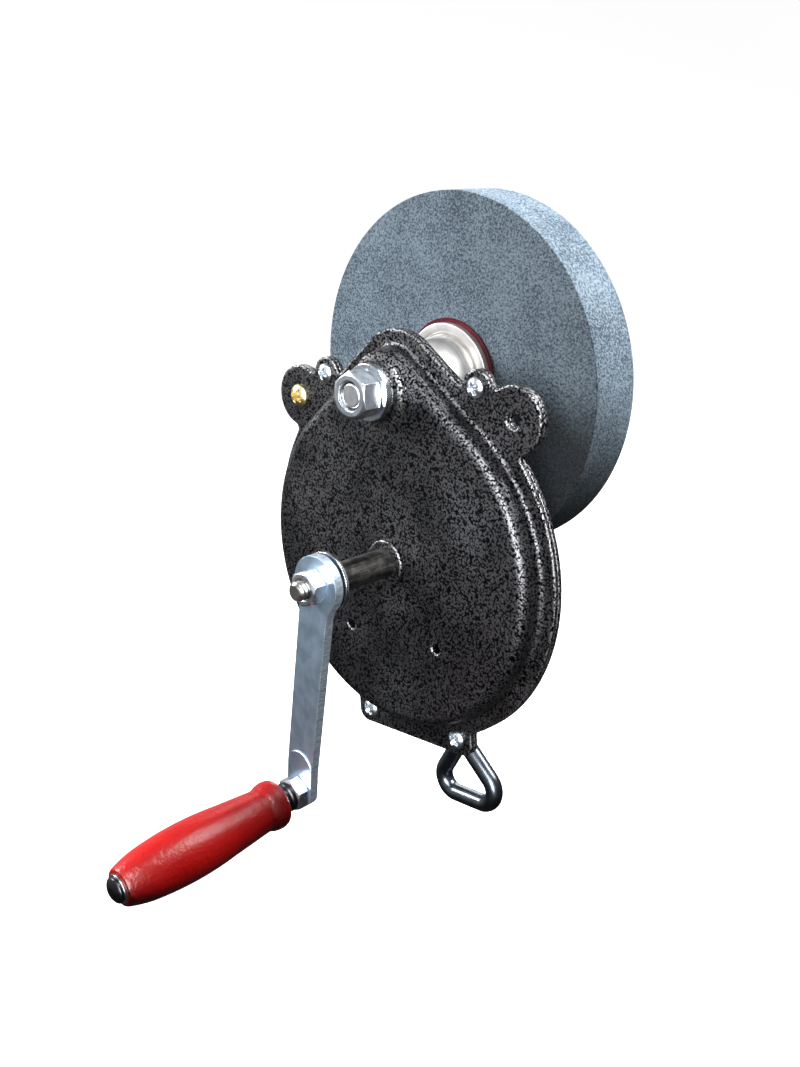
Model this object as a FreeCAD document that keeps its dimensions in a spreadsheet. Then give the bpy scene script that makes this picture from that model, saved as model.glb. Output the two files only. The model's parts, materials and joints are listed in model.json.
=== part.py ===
import FreeCAD, Part
import math
import os
import Sketcher
from FreeCAD import Placement, Rotation, Vector

# Hand crank bench grinder, clamped to the edge of a bench top.
# +Z is up, +Y points away from the person who turns the crank, +X is to that person's right.
# The origin is the centre of the seat of the upper jaw, straight above the clamp screw.

doc = FreeCAD.newDocument("Grinder")

SIZES = (
    ("wheel_dia", 150.0, "grinding wheel, outside diameter"),
    ("wheel_width", 24.0, "grinding wheel, thickness"),
    ("wheel_edge", 0.6, "grinding wheel, broken edge of the rim"),
    ("wheel_gap", 29.5, "joint of the housing to the front of the wheel"),
    ("crank_height", 24.375, "crank axis above the jaw seat"),
    ("setback", 32.0, "joint of the housing to the clamp screw axis"),
    ("sheet_steel", 2.0, "thickness of both housing halves"),
    ("pan_radius", 71.5, "housing pan, large end"),
    ("nose_radius", 16.0, "housing pan, end about the spindle"),
    ("pan_depth", 11.8, "joint of the housing to the front face"),
    ("shoulder_radius", 4.5, "housing pan, rounding of the front edge"),
    ("root_radius", 2.0, "housing pan, rounding where the wall meets the flange"),
    ("flange_width", 7.0, "flange round the pan"),
    ("ear_radius", 13.2, "large ears"),
    ("ear_angle", 46.1, "large ears, degrees above level about the crank axis"),
    ("ear_reach", 8.1, "large ears, middle beyond the edge of the flange"),
    ("ear_hole", 6.4, "large ears, hole diameter"),
    ("lug_radius", 6.7, "small screw lugs"),
    ("lug_inset", 17.65, "small screw lugs, sideways from the middle of the ear"),
    ("lug_rise", 11.04, "small screw lugs, height above the middle of the ear"),
    ("bridge_radius", 4.6, "web between a small lug and its ear, half its width"),
    ("valley_radius", 2.5, "rounding between flange, lugs, ears and tab"),
    ("tab_half_width", 33.3, "foot tab, half its width"),
    ("tab_reach", 3.5, "foot tab, lower edge beyond the edge of the flange"),
    ("tab_corner", 5.0, "foot tab, corner rounding"),
    ("tab_screw_side", 25.7, "foot tab screws, distance from the middle"),
    ("tab_screw_rise", 6.7, "foot tab screws, height above the lower edge"),
    ("face_hole", 4.6, "two holes in the front face, diameter"),
    ("face_hole_side", 25.0, "two holes in the front face, distance from the middle"),
    ("face_hole_drop", 32.5, "two holes in the front face, distance below the crank axis"),
    ("neck_radius", 10.0, "neck boss about the spindle, front"),
    ("neck_length", 3.9, "neck boss about the spindle, front"),
    ("rear_neck_radius", 12.0, "neck boss about the spindle, rear"),
    ("rear_neck_length", 9.5, "neck boss about the spindle, rear"),
    ("rear_boss_radius", 11.0, "boss about the crank shaft, rear"),
    ("rear_boss_length", 3.0, "boss about the crank shaft, rear"),
    ("gear_room", 5.875, "tips of the crank gear to the inside of the pan wall"),
    ("gear_teeth", 100.0, "teeth of the crank gear"),
    ("pinion_teeth", 13.0, "teeth of the spindle pinion"),
    ("pressure_angle", 25.0, "gear train, degrees"),
    ("tooth_play", 0.16, "backlash on the pitch circle"),
    ("gear_width", 7.0, "crank gear"),
    ("pinion_width", 8.0, "spindle pinion"),
    ("gear_gap", 0.9, "crank gear to the inside of the front face"),
    ("gear_window", 22.0, "round windows in the crank gear, diameter"),
    ("window_count", 5.0, "round windows in the crank gear"),
    ("window_ring", 41.0, "round windows in the crank gear, radius of their ring"),
    ("shaft_dia", 12.0, "crank shaft and spindle journals"),
    ("journal_play", 0.04, "radial running clearance in the bushes"),
    ("bush_wall", 2.0, "wall of the bushes"),
    ("bush_flange", 1.4, "collar of the crank bushes beyond the wall"),
    ("collar_height", 2.2, "collar of the front crank bush on the face"),
    ("shaft_reach", 32.9, "crank shaft, front face of the housing to its shoulder"),
    ("shaft_tail", 3.4, "crank shaft, beyond the collar of its rear bush"),
    ("seat_dia", 10.0, "flatted seat of the arm on the crank shaft"),
    ("seat_flats", 8.0, "flatted seat, across the flats"),
    ("crank_thread", 8.0, "threaded end of the crank shaft"),
    ("crank_thread_out", 4.4, "threaded end beyond its nut"),
    ("key_side", 4.0, "square key of the gear"),
    ("ring_dia", 18.0, "retaining ring, outside diameter"),
    ("ring_thick", 1.2, "retaining ring, thickness"),
    ("arm_length", 97.0, "crank arm, between its hole centres"),
    ("arm_thick", 4.0, "crank arm, thickness"),
    ("arm_eye", 12.0, "crank arm, radius of the upper eye"),
    ("arm_top", 8.0, "crank arm, half its width at the eye"),
    ("arm_foot", 7.3, "crank arm, half its width at the handle"),
    ("arm_tilt", 12.3, "crank arm from the vertical at rest, degrees"),
    ("arm_bend", 3.8, "bend of the arm's foot, degrees"),
    ("arm_bend_reach", 12.0, "bend of the arm's foot to the handle bolt"),
    ("spring_washer", 1.5, "crank spring washer, thickness"),
    ("spring_washer_dia", 15.0, "crank spring washer, diameter"),
    ("crank_washer", 1.6, "crank washer, thickness"),
    ("crank_washer_dia", 24.5, "crank washer, diameter"),
    ("m8_flats", 13.0, "nuts of the crank shaft and the handle, across the flats"),
    ("m8_height", 6.5, "nut of the crank shaft, height"),
    ("handle_nut_height", 5.6, "nut of the handle bolt, height"),
    ("bolt_dia", 8.0, "handle bolt"),
    ("bolt_head_dia", 11.6, "handle bolt, head diameter"),
    ("bolt_head", 3.2, "handle bolt, head height"),
    ("ferrule_length", 4.6, "dark ferrule between nut and handle"),
    ("ferrule_dia", 12.6, "dark ferrule, diameter"),
    ("handle_length", 77.4, "wooden handle"),
    ("handle_dia", 23.8, "wooden handle, at the belly"),
    ("bead_dia", 21.0, "wooden handle, bead at the arm end"),
    ("groove_dia", 18.2, "wooden handle, groove behind the bead"),
    ("tail_dia", 15.0, "wooden handle, free end"),
    ("handle_play", 0.08, "radial clearance of the handle on its bolt"),
    ("end_play", 0.3, "end clearance of the turning pieces"),
    ("handle_ring", 0.8, "bright ring under the bolt head, thickness"),
    ("handle_ring_dia", 12.8, "bright ring under the bolt head, diameter"),
    ("nose_thread", 10.0, "front end of the spindle"),
    ("nose_washer", 3.0, "spindle washer, thickness"),
    ("nose_washer_dia", 23.0, "spindle washer, diameter"),
    ("nose_nut_flats", 17.0, "spindle nut, across the flats"),
    ("nose_nut_height", 9.2, "spindle nut, height"),
    ("nose_recess", 0.8, "end of the spindle inside the mouth of its nut"),
    ("blotter_dia", 48.4, "paper washers beside the wheel"),
    ("blotter_thick", 0.6, "paper washers beside the wheel"),
    ("flange_dia", 44.8, "wheel flanges"),
    ("flange_thick", 2.7, "wheel flanges, rim thickness"),
    ("dome_dia", 35.2, "hub dome of the inner flange, at its foot"),
    ("dome_nose", 18.0, "hub dome of the inner flange, at its nose"),
    ("dome_height", 12.8, "hub dome of the inner flange"),
    ("outer_hub", 30.0, "outer flange, raised middle"),
    ("outer_hub_height", 2.6, "outer flange, raised middle"),
    ("wheel_washer", 2.0, "washer under the wheel nut, thickness"),
    ("wheel_washer_dia", 24.0, "washer under the wheel nut, diameter"),
    ("wheel_nut_flats", 19.0, "wheel nut, across the flats"),
    ("wheel_nut_height", 10.0, "wheel nut, height"),
    ("tail_out", 3.0, "spindle beyond the wheel nut"),
    ("m4_shank", 4.0, "housing screws, shank"),
    ("m4_head_dia", 8.0, "housing screws, head"),
    ("m4_head", 2.6, "housing screws, head height"),
    ("m4_flats", 7.0, "housing nuts, across the flats"),
    ("m4_height", 3.2, "housing nuts, height"),
    ("m5_shank", 5.0, "brass ear screw, shank"),
    ("m5_head_dia", 10.0, "brass ear screw, head"),
    ("m5_head", 3.3, "brass ear screw, head height"),
    ("m5_flats", 8.0, "nut of the ear screw, across the flats"),
    ("m5_height", 4.0, "nut of the ear screw, height"),
    ("screw_play", 0.2, "radial clearance of screws in through holes"),
    ("thread_play", 0.05, "radial clearance in threaded holes"),
    ("screw_out", 1.2, "screw ends beyond their nuts"),
    ("jaw_thick", 8.0, "clamp bracket, upper jaw"),
    ("jaw_half_width", 22.0, "clamp bracket, half the width of the upper jaw"),
    ("jaw_reach", 20.0, "clamp bracket, upper jaw beyond the screw axis"),
    ("jaw_corner", 6.0, "clamp bracket, corners of the upper jaw"),
    ("throat", 51.0, "clamp bracket, between upper jaw and lower arm"),
    ("arm_plate", 9.0, "clamp bracket, lower arm thickness"),
    ("lower_half_width", 10.0, "clamp bracket, half the width of the lower arm"),
    ("boss_radius", 11.0, "clamp bracket, boss round the screw"),
    ("web_half_width", 16.0, "clamp bracket, half the width of the web"),
    ("web_thick", 7.0, "clamp bracket, web"),
    ("web_top", 12.0, "clamp bracket, top of the web above the seat"),
    ("foot_thick", 3.5, "clamp bracket, screw lugs"),
    ("foot_lug", 4.0, "clamp bracket, radius of the lower screw lugs"),
    ("upper_lug", 5.5, "clamp bracket, radius of the upper screw lugs"),
    ("rib_thick", 4.0, "clamp bracket, ribs above the jaw"),
    ("rib_side", 12.2, "clamp bracket, ribs, distance from the middle"),
    ("rib_height", 20.0, "clamp bracket, ribs above the jaw"),
    ("rib_reach", 34.0, "clamp bracket, ribs along the jaw"),
    ("corner_radius", 4.0, "clamp bracket, inside corners of the throat"),
    ("bracket_screw", 5.0, "countersunk screws, shank"),
    ("bracket_screw_head", 8.6, "countersunk screws, head"),
    ("bracket_screw_length", 7.0, "countersunk screws, length"),
    ("clamp_thread", 8.0, "clamp screw and its bent loop"),
    ("loop_half_width", 7.65, "loop, corner centres from the middle"),
    ("loop_corner", 7.65, "loop, bend radius of the lower corners"),
    ("loop_apex", 4.5, "loop, bend radius at the top"),
    ("loop_drop", 32.6, "loop, underside of the lower arm to the lower corner centres"),
    ("loop_height", 12.1, "loop, lower corner centres to the top centre"),
    ("pad_gap", 13.0, "jaw seat to the pad at rest"),
    ("pad_radius", 10.0, "clamp pad"),
    ("pad_thick", 4.0, "clamp pad, disc"),
    ("pad_cup", 6.5, "clamp pad, radius of the cup below the disc"),
    ("pad_cup_height", 4.0, "clamp pad, height of the cup"),
    ("pad_pin", 6.0, "end pin of the clamp screw in the pad"),
)


class Size:
    """A length with its number and the expression that gives it from the sheet."""

    def __init__(self, text, value):
        self.text = text
        self.value = float(value)

    def joined(self, sign, other, value):
        return Size("(%s %s %s)" % (self.text, sign, sized(other).text), value)

    def __add__(self, other):
        return self.joined("+", other, self.value + sized(other).value)

    def __sub__(self, other):
        return self.joined("-", other, self.value - sized(other).value)

    def __rsub__(self, other):
        return sized(other) - self

    def __mul__(self, other):
        return self.joined("*", other, self.value * sized(other).value)

    def __truediv__(self, other):
        return self.joined("/", other, self.value / sized(other).value)

    def __rtruediv__(self, other):
        return sized(other) / self

    def __neg__(self):
        return Size("(0 - %s)" % self.text, -self.value)

    __radd__ = __add__
    __rmul__ = __mul__


def sized(value):
    """A plain number as a Size."""
    if isinstance(value, Size):
        return value
    return Size("(%.9g)" % value, value)


def sine(angle):
    return Size("sin(%s)" % angle.text, math.sin(math.radians(angle.value)))


def cosine(angle):
    return Size("cos(%s)" % angle.text, math.cos(math.radians(angle.value)))


def root(size):
    return Size("sqrt(%s)" % size.text, math.sqrt(size.value))


class Dimensions:
    """The named sizes, each tied to its cell of the sheet."""


sheet = doc.addObject("Spreadsheet::Sheet", "Sizes")
dim = Dimensions()
for row, (name, number, note) in enumerate(SIZES, start=1):
    sheet.set("A%d" % row, name)
    sheet.set("B%d" % row, str(number))
    sheet.set("C%d" % row, note)
    sheet.setAlias("B%d" % row, name)
    setattr(dim, name, Size("Sizes." + name, number))
doc.recompute()

# Directions in which a turned piece's own axis can point.
BACK = Rotation(Vector(0, 0, 1), Vector(0, 1, 0))
FRONT = Rotation(Vector(0, 0, 1), Vector(0, -1, 0))
UPRIGHT = Rotation()

# Height and depth of the gear teeth, in modules.
ADDENDUM = 0.9
DEDENDUM = 1.12

# Stations along Y and Z that several pieces share.
joint_y = -dim.setback
face_y = joint_y - dim.pan_depth
plate_y = joint_y + dim.sheet_steel
wheel_front_y = joint_y + dim.wheel_gap
wheel_back_y = wheel_front_y + dim.wheel_width
flange_radius = dim.pan_radius + dim.flange_width
gear_tip_radius = dim.pan_radius - dim.sheet_steel - dim.gear_room
gear_module = gear_tip_radius / (dim.gear_teeth / 2 + ADDENDUM)
crank_z = dim.crank_height
spindle_z = crank_z + gear_module * (dim.gear_teeth + dim.pinion_teeth) / 2
tab_z = crank_z - flange_radius - dim.tab_reach
tab_screw_z = tab_z + dim.tab_screw_rise
face_hole_z = crank_z - dim.face_hole_drop
ear_ring = flange_radius + dim.ear_reach
ear_side = ear_ring * cosine(dim.ear_angle)
ear_z = crank_z + ear_ring * sine(dim.ear_angle)
lug_side = ear_side - dim.lug_inset
lug_z = ear_z + dim.lug_rise
shaft_radius = dim.shaft_dia / 2
bush_bore = shaft_radius + dim.journal_play
bush_radius = shaft_radius + dim.bush_wall
journal_radius = bush_radius
gear_front_y = face_y + dim.sheet_steel + dim.gear_gap
gear_back_y = gear_front_y + dim.gear_width
pinion_front_y = gear_front_y - (dim.pinion_width - dim.gear_width) / 2
pinion_back_y = pinion_front_y + dim.pinion_width
shoulder_y = face_y - dim.shaft_reach
arm_back_y = shoulder_y - dim.crank_washer - dim.spring_washer
arm_front_y = arm_back_y - dim.arm_thick
arm_floor_z = -dim.throat
underside_z = arm_floor_z - dim.arm_plate

nodes = []


def keep(label, piece):
    """Give a finished piece its name and put it on the list of nodes."""
    piece.Label = label
    nodes.append(piece)
    return piece


def place(piece, x, y, z, rotation=UPRIGHT):
    """Put a piece's own origin at a station that follows the sheet."""
    x, y, z = sized(x), sized(y), sized(z)
    piece.Placement = Placement(Vector(x.value, y.value, z.value), rotation)
    piece.setExpression("Placement.Base.x", x.text)
    piece.setExpression("Placement.Base.y", y.text)
    piece.setExpression("Placement.Base.z", z.text)


def new_body(name):
    return doc.addObject("PartDesign::Body", name)


def new_sketch(body, name, role, offset=0.0):
    """A sketch on one of the body's own origin planes, moved along the plane's normal."""
    sketch = body.newObject("Sketcher::SketchObject", name)
    plane = [item for item in body.Origin.OriginFeatures if item.Role == role][0]
    sketch.AttachmentSupport = [(plane, "")]
    sketch.MapMode = "FlatFace"
    offset = sized(offset)
    sketch.AttachmentOffset = Placement(Vector(0, 0, offset.value), Rotation())
    sketch.setExpression("AttachmentOffset.Base.z", offset.text)
    return sketch


def bind(sketch, constraint, size):
    """Add a constraint whose value follows the sheet."""
    index = sketch.addConstraint(constraint)
    name = "c%d" % index
    sketch.renameConstraint(index, name)
    sketch.setExpression("Constraints." + name, size.text)


def pin_point(sketch, geometry, position, x, y):
    """Hold one point of a sketch at coordinates that follow the sheet."""
    for kind, axis, size in (("DistanceX", -2, sized(x)), ("DistanceY", -1, sized(y))):
        if abs(size.value) < 1e-9:
            sketch.addConstraint(Sketcher.Constraint("PointOnObject", geometry, position, axis))
        elif size.value > 0:
            rule = Sketcher.Constraint(kind, -1, 1, geometry, position, size.value)
            bind(sketch, rule, size)
        else:
            rule = Sketcher.Constraint(kind, geometry, position, -1, 1, -size.value)
            bind(sketch, rule, -size)


def add_circle(sketch, x, y, radius):
    x, y, radius = sized(x), sized(y), sized(radius)
    circle = Part.Circle(Vector(x.value, y.value, 0), Vector(0, 0, 1), radius.value)
    index = sketch.addGeometry(circle, False)
    pin_point(sketch, index, 3, x, y)
    bind(sketch, Sketcher.Constraint("Radius", index, radius.value), radius)


def add_profile(sketch, points):
    """A closed outline through corner points. A third entry, a point on the way to the next
    corner, makes that side an arc through it."""
    ends = [Vector(sized(p[0]).value, sized(p[1]).value, 0) for p in points]
    first = sketch.GeometryCount
    for number, point in enumerate(points):
        start, end = ends[number], ends[(number + 1) % len(ends)]
        if len(point) == 3:
            via = Vector(sized(point[2][0]).value, sized(point[2][1]).value, 0)
            side = Part.Arc(start, via, end)
        else:
            side = Part.LineSegment(start, end)
        sketch.addGeometry(side, False)
    tips = []
    for number in range(len(points)):
        index = first + number
        near_start = (sketch.getPoint(index, 1) - ends[number]).Length
        near_end = (sketch.getPoint(index, 2) - ends[number]).Length
        tips.append((1, 2) if near_start <= near_end else (2, 1))
    for number, point in enumerate(points):
        index = first + number
        following = (number + 1) % len(points)
        pin_point(sketch, index, tips[number][0], point[0], point[1])
        join = (index, tips[number][1], first + following, tips[following][0])
        sketch.addConstraint(Sketcher.Constraint("Coincident", *join))
    for number, point in enumerate(points):
        if len(point) == 3:
            x, y = sized(point[2][0]), sized(point[2][1])
            via = sketch.addGeometry(Part.Point(Vector(x.value, y.value, 0)), True)
            pin_point(sketch, via, 1, x, y)
            sketch.addConstraint(Sketcher.Constraint("PointOnObject", via, 1, first + number))


def add_rectangle(sketch, left, right, low, high):
    add_profile(sketch, [(left, low), (right, low), (right, high), (left, high)])


def add_belt(sketch, circles):
    """The outline of a tight belt round circles (x, y, radius) taken counterclockwise."""
    centres = [Vector(sized(c[0]).value, sized(c[1]).value, 0) for c in circles]
    radii = [sized(c[2]).value for c in circles]
    count = len(circles)
    normals = []
    for i in range(count):
        j = (i + 1) % count
        way = centres[j] - centres[i]
        slope = (radii[i] - radii[j]) / way.Length
        way.normalize()
        side = Vector(way.y, -way.x, 0)
        normals.append(side * math.sqrt(1 - slope * slope) + way * slope)
    lines = []
    arcs = []
    for i in range(count):
        j = (i + 1) % count
        start = centres[i] + normals[i] * radii[i]
        end = centres[j] + normals[i] * radii[j]
        lines.append(sketch.addGeometry(Part.LineSegment(start, end), False))
        begin = math.atan2(normals[i].y, normals[i].x)
        finish = math.atan2(normals[j].y, normals[j].x)
        if finish <= begin:
            finish += 2 * math.pi
        circle = Part.Circle(centres[j], Vector(0, 0, 1), radii[j])
        arcs.append(sketch.addGeometry(Part.ArcOfCircle(circle, begin, finish), False))
    for i in range(count):
        j = (i + 1) % count
        sketch.addConstraint(Sketcher.Constraint("Tangent", lines[i], 2, arcs[i], 1))
        sketch.addConstraint(Sketcher.Constraint("Tangent", arcs[i], 2, lines[j], 1))
        pin_point(sketch, arcs[i], 3, circles[j][0], circles[j][1])
        radius = sized(circles[j][2])
        bind(sketch, Sketcher.Constraint("Radius", arcs[i], radii[j]), radius)


def pad(body, sketch, length, backwards=False, both_ways=False):
    feature = body.newObject("PartDesign::Pad", sketch.Name + "Pad")
    feature.Profile = sketch
    length = sized(length)
    feature.Length = length.value
    feature.setExpression("Length", length.text)
    feature.Reversed = backwards
    feature.Midplane = both_ways
    sketch.Visibility = False
    doc.recompute()
    return feature


def pocket(body, sketch, length=None, backwards=False):
    """Cut along the sketch's normal, backwards for the other way, and confirm that it cut."""
    before = body.Shape.Volume
    feature = body.newObject("PartDesign::Pocket", sketch.Name + "Pocket")
    feature.Profile = sketch
    feature.Reversed = not backwards
    if length is None:
        feature.Type = "ThroughAll"
    else:
        length = sized(length)
        feature.Length = length.value
        feature.setExpression("Length", length.text)
    doc.recompute()
    if body.Shape.Volume >= before:
        raise ValueError(sketch.Name + " cuts nothing")
    return feature


def revolve(body, sketch, cut=False):
    kind = "PartDesign::Groove" if cut else "PartDesign::Revolution"
    feature = body.newObject(kind, sketch.Name + "Turn")
    feature.Profile = sketch
    feature.ReferenceAxis = (sketch, ["V_Axis"])
    feature.Angle = 360.0
    doc.recompute()
    return feature


def find_edges(shape, wanted):
    """Names of the edges that pass the test wanted(edge, faces beside it)."""
    found = []
    for number, edge in enumerate(shape.Edges, start=1):
        if wanted(edge, shape.ancestorsOfType(edge, Part.Face)):
            found.append("Edge%d" % number)
    return found


def round_edges(body, name, wanted, radius):
    """Round the edges that pass the test, and confirm that the rounding worked."""
    feature = body.newObject("PartDesign::Fillet", name)
    base = body.Group[-2]
    feature.Base = (base, find_edges(base.Shape, wanted))
    radius = sized(radius)
    feature.Radius = radius.value
    feature.setExpression("Radius", radius.text)
    doc.recompute()
    if "Invalid" in feature.State:
        raise ValueError(name + " can't be rounded")
    return feature


def in_plane_y(level):
    """Test for edges that lie in the plane y = level."""
    return lambda edge, faces: all(abs(v.Y - level.value) < 1e-4 for v in edge.Vertexes)


def spans(edge, axis, length):
    """True for a straight edge of the given length along one axis."""
    box = edge.BoundBox
    extents = {"x": box.XLength, "y": box.YLength, "z": box.ZLength}
    others = [value for key, value in extents.items() if key != axis]
    return abs(extents[axis] - length) < 1e-4 and max(others) < 1e-4


def turned(name, points, rotation=UPRIGHT, x=0.0, y=0.0, z=0.0):
    """A lathe piece: an outline of (radius, height) points turned about its own axis."""
    body = new_body(name)
    sketch = new_sketch(body, name + "Profile", "XZ_Plane")
    add_profile(sketch, points)
    revolve(body, sketch)
    place(body, x, y, z, rotation)
    return body


def ring(name, bore, radius, height, rotation=UPRIGHT, x=0.0, y=0.0, z=0.0):
    """A plain washer or bush."""
    points = [(bore, 0.0), (radius, 0.0), (radius, height), (bore, height)]
    return turned(name, points, rotation, x, y, z)


def hex_nut(name, flats, height, bore, rotation=UPRIGHT, x=0.0, y=0.0, z=0.0):
    """A hexagon nut with both ends chamfered by a 30 degree cone."""
    body = new_body(name)
    corner = flats / math.sqrt(3)
    outline = new_sketch(body, name + "Hexagon", "XY_Plane")
    angles = [math.radians(60 * k) for k in range(6)]
    add_profile(outline, [(corner * math.cos(a), corner * math.sin(a)) for a in angles])
    pad(body, outline, height)
    cone = new_sketch(body, name + "Cone", "XZ_Plane")
    inner = flats * 0.475
    outer = corner * 1.1
    drop = (outer - inner) * math.tan(math.radians(30))
    add_profile(cone, [(inner, 0.0), (outer, 0.0), (outer, drop)])
    add_profile(cone, [(inner, height), (outer, height - drop), (outer, height)])
    revolve(body, cone, cut=True)
    hole = new_sketch(body, name + "Bore", "XY_Plane")
    add_circle(hole, 0.0, 0.0, bore)
    pocket(body, hole, backwards=False)
    place(body, x, y, z, rotation)
    return body


def cap_middle(radius, low, high):
    """A point halfway out on a spherical cap that rises from the height low to high."""
    rise = high - low
    sphere = (radius * radius + rise * rise) / (2 * rise)
    return radius / 2, high - sphere + root(sphere * sphere - radius * radius / 4)


def pan_screw(name, shank, head_dia, head, length, x, y, z):
    """A pan head screw, its head towards the front and its seat on the plane y."""
    rim = head * 0.35
    points = [
        (0.0, -length),
        (shank / 2, -length),
        (shank / 2, 0.0),
        (head_dia / 2, 0.0),
        (head_dia / 2, rim, cap_middle(head_dia / 2, rim, head)),
        (0.0, head),
    ]
    return turned(name, points, FRONT, x, y, z)


def mirrored_pair(label, piece):
    """The piece and its mirror image on the other side of the machine, as one node."""
    twin = doc.addObject("Part::Mirroring", label + "Twin")
    twin.Source = piece
    twin.Normal = (1, 0, 0)
    pair = doc.addObject("Part::Compound", label + "Pair")
    pair.Links = [piece, twin]
    return keep(label, pair)


def has_corner(edge, faces):
    """True where the two faces beside an edge meet at a real corner and not smoothly."""
    middle = edge.valueAt((edge.FirstParameter + edge.LastParameter) / 2)
    normals = [face.normalAt(*face.Surface.parameter(middle)) for face in faces]
    return math.degrees(normals[0].getAngle(normals[1])) > 8


def flange_outline(body, prefix, thickness, backwards):
    """The flat sheet that both halves share: pear shape, two ears, two lugs and a foot tab."""
    plane = -joint_y
    pear = new_sketch(body, prefix + "Pear", "XZ_Plane", plane)
    small = dim.nose_radius + dim.flange_width
    add_belt(pear, [(0.0, crank_z, flange_radius), (0.0, spindle_z, small)])
    pad(body, pear, thickness, backwards)
    for side, word in ((-1, "Left"), (1, "Right")):
        ear = new_sketch(body, prefix + word + "Ear", "XZ_Plane", plane)
        add_circle(ear, side * ear_side, ear_z, dim.ear_radius)
        pad(body, ear, thickness, backwards)
        lug = new_sketch(body, prefix + word + "Lug", "XZ_Plane", plane)
        add_circle(lug, side * lug_side, lug_z, dim.lug_radius)
        pad(body, lug, thickness, backwards)
        bridge = new_sketch(body, prefix + word + "Bridge", "XZ_Plane", plane)
        corners = [
            (side * lug_side, ear_z - dim.ear_radius / 2, dim.bridge_radius),
            (side * ear_side, ear_z, dim.bridge_radius),
            (side * lug_side, lug_z, dim.bridge_radius),
        ]
        add_belt(bridge, corners[::side])
        pad(body, bridge, thickness, backwards)
    tab = new_sketch(body, prefix + "Tab", "XZ_Plane", plane)
    add_rectangle(tab, -dim.tab_half_width, dim.tab_half_width, tab_z, crank_z)
    pad(body, tab, thickness, backwards)

    def tab_corner(edge, faces):
        low = abs(edge.BoundBox.ZMin - tab_z.value) < 1e-3
        return low and spans(edge, "y", thickness.value)

    round_edges(body, prefix + "TabCorners", tab_corner, dim.tab_corner)

    def valley(edge, faces):
        return spans(edge, "y", thickness.value) and has_corner(edge, faces)

    round_edges(body, prefix + "Valleys", valley, dim.valley_radius)


def flange_holes(sketch, lug_bore, tab_bore):
    for side in (-1, 1):
        add_circle(sketch, side * ear_side, ear_z, dim.ear_hole / 2)
        add_circle(sketch, side * lug_side, lug_z, lug_bore)
        add_circle(sketch, side * dim.tab_screw_side, tab_screw_z, tab_bore)


def build_front_housing():
    """Pressed pan: pear shaped flange, raised pan with a rounded shoulder, hollow behind."""
    body = new_body("FrontHousing")
    flange_outline(body, "Front", dim.sheet_steel, False)
    pan = new_sketch(body, "PanWall", "XZ_Plane", -joint_y)
    add_belt(pan, [(0.0, crank_z, dim.pan_radius), (0.0, spindle_z, dim.nose_radius)])
    pad(body, pan, dim.pan_depth)
    round_edges(body, "PanShoulder", in_plane_y(face_y), dim.shoulder_radius)
    flange_y = joint_y - dim.sheet_steel

    def foot_of_wall(edge, faces):
        beyond = [face for face in faces if face.BoundBox.YMin < flange_y.value - 1]
        return in_plane_y(flange_y)(edge, faces) and bool(beyond)

    round_edges(body, "PanRoot", foot_of_wall, dim.root_radius)
    hollow = new_sketch(body, "PanHollow", "XZ_Plane", -joint_y)
    inner = dim.pan_radius - dim.sheet_steel
    inner_nose = dim.nose_radius - dim.sheet_steel
    add_belt(hollow, [(0.0, crank_z, inner), (0.0, spindle_z, inner_nose)])
    pocket(body, hollow, dim.pan_depth - dim.sheet_steel, backwards=False)
    inside_y = face_y + dim.sheet_steel
    inside_radius = dim.shoulder_radius - dim.sheet_steel
    round_edges(body, "PanInside", in_plane_y(inside_y), inside_radius)
    neck = new_sketch(body, "Neck", "XZ_Plane", -face_y - dim.sheet_steel / 2)
    add_circle(neck, 0.0, spindle_z, dim.neck_radius)
    pad(body, neck, dim.neck_length + dim.sheet_steel / 2)
    holes = new_sketch(body, "FrontHoles", "XZ_Plane", -joint_y)
    add_circle(holes, 0.0, spindle_z, bush_radius)
    add_circle(holes, 0.0, crank_z, bush_radius)
    for side in (-1, 1):
        add_circle(holes, side * dim.face_hole_side, face_hole_z, dim.face_hole / 2)
    screw_bore = dim.m4_shank / 2 + dim.screw_play
    flange_holes(holes, screw_bore, screw_bore)
    pocket(body, holes, backwards=False)
    return keep("front_housing", body)


def build_rear_housing():
    """Flat pressed half with the same outline and two bearing bosses behind."""
    body = new_body("RearHousing")
    flange_outline(body, "Rear", dim.sheet_steel, True)
    bosses = (
        ("RearNeck", spindle_z, dim.rear_neck_radius, dim.rear_neck_length),
        ("RearBoss", crank_z, dim.rear_boss_radius, dim.rear_boss_length),
    )
    for name, height, radius, length in bosses:
        boss = new_sketch(body, name, "XZ_Plane", -plate_y)
        add_circle(boss, 0.0, height, radius)
        pad(body, boss, length, True)
        end = plate_y + length
        round_edges(body, name + "Edge", in_plane_y(end), dim.sheet_steel / 2)
    holes = new_sketch(body, "RearHoles", "XZ_Plane", -joint_y)
    add_circle(holes, 0.0, spindle_z, bush_radius)
    add_circle(holes, 0.0, crank_z, bush_radius)
    screw_bore = dim.m4_shank / 2 + dim.screw_play
    flange_holes(holes, screw_bore, screw_bore)
    pocket(body, holes, backwards=True)
    for side, word in ((-1, "Left"), (1, "Right")):
        sink = new_sketch(body, word + "Sink", "XY_Plane")
        sink.AttachmentOffset = Placement()
        place_sink(sink, side)
        groove = body.newObject("PartDesign::Groove", word + "SinkCut")
        groove.Profile = sink
        groove.ReferenceAxis = (sink, ["V_Axis"])
        groove.Angle = 360.0
        doc.recompute()
    return keep("rear_housing", body)


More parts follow.
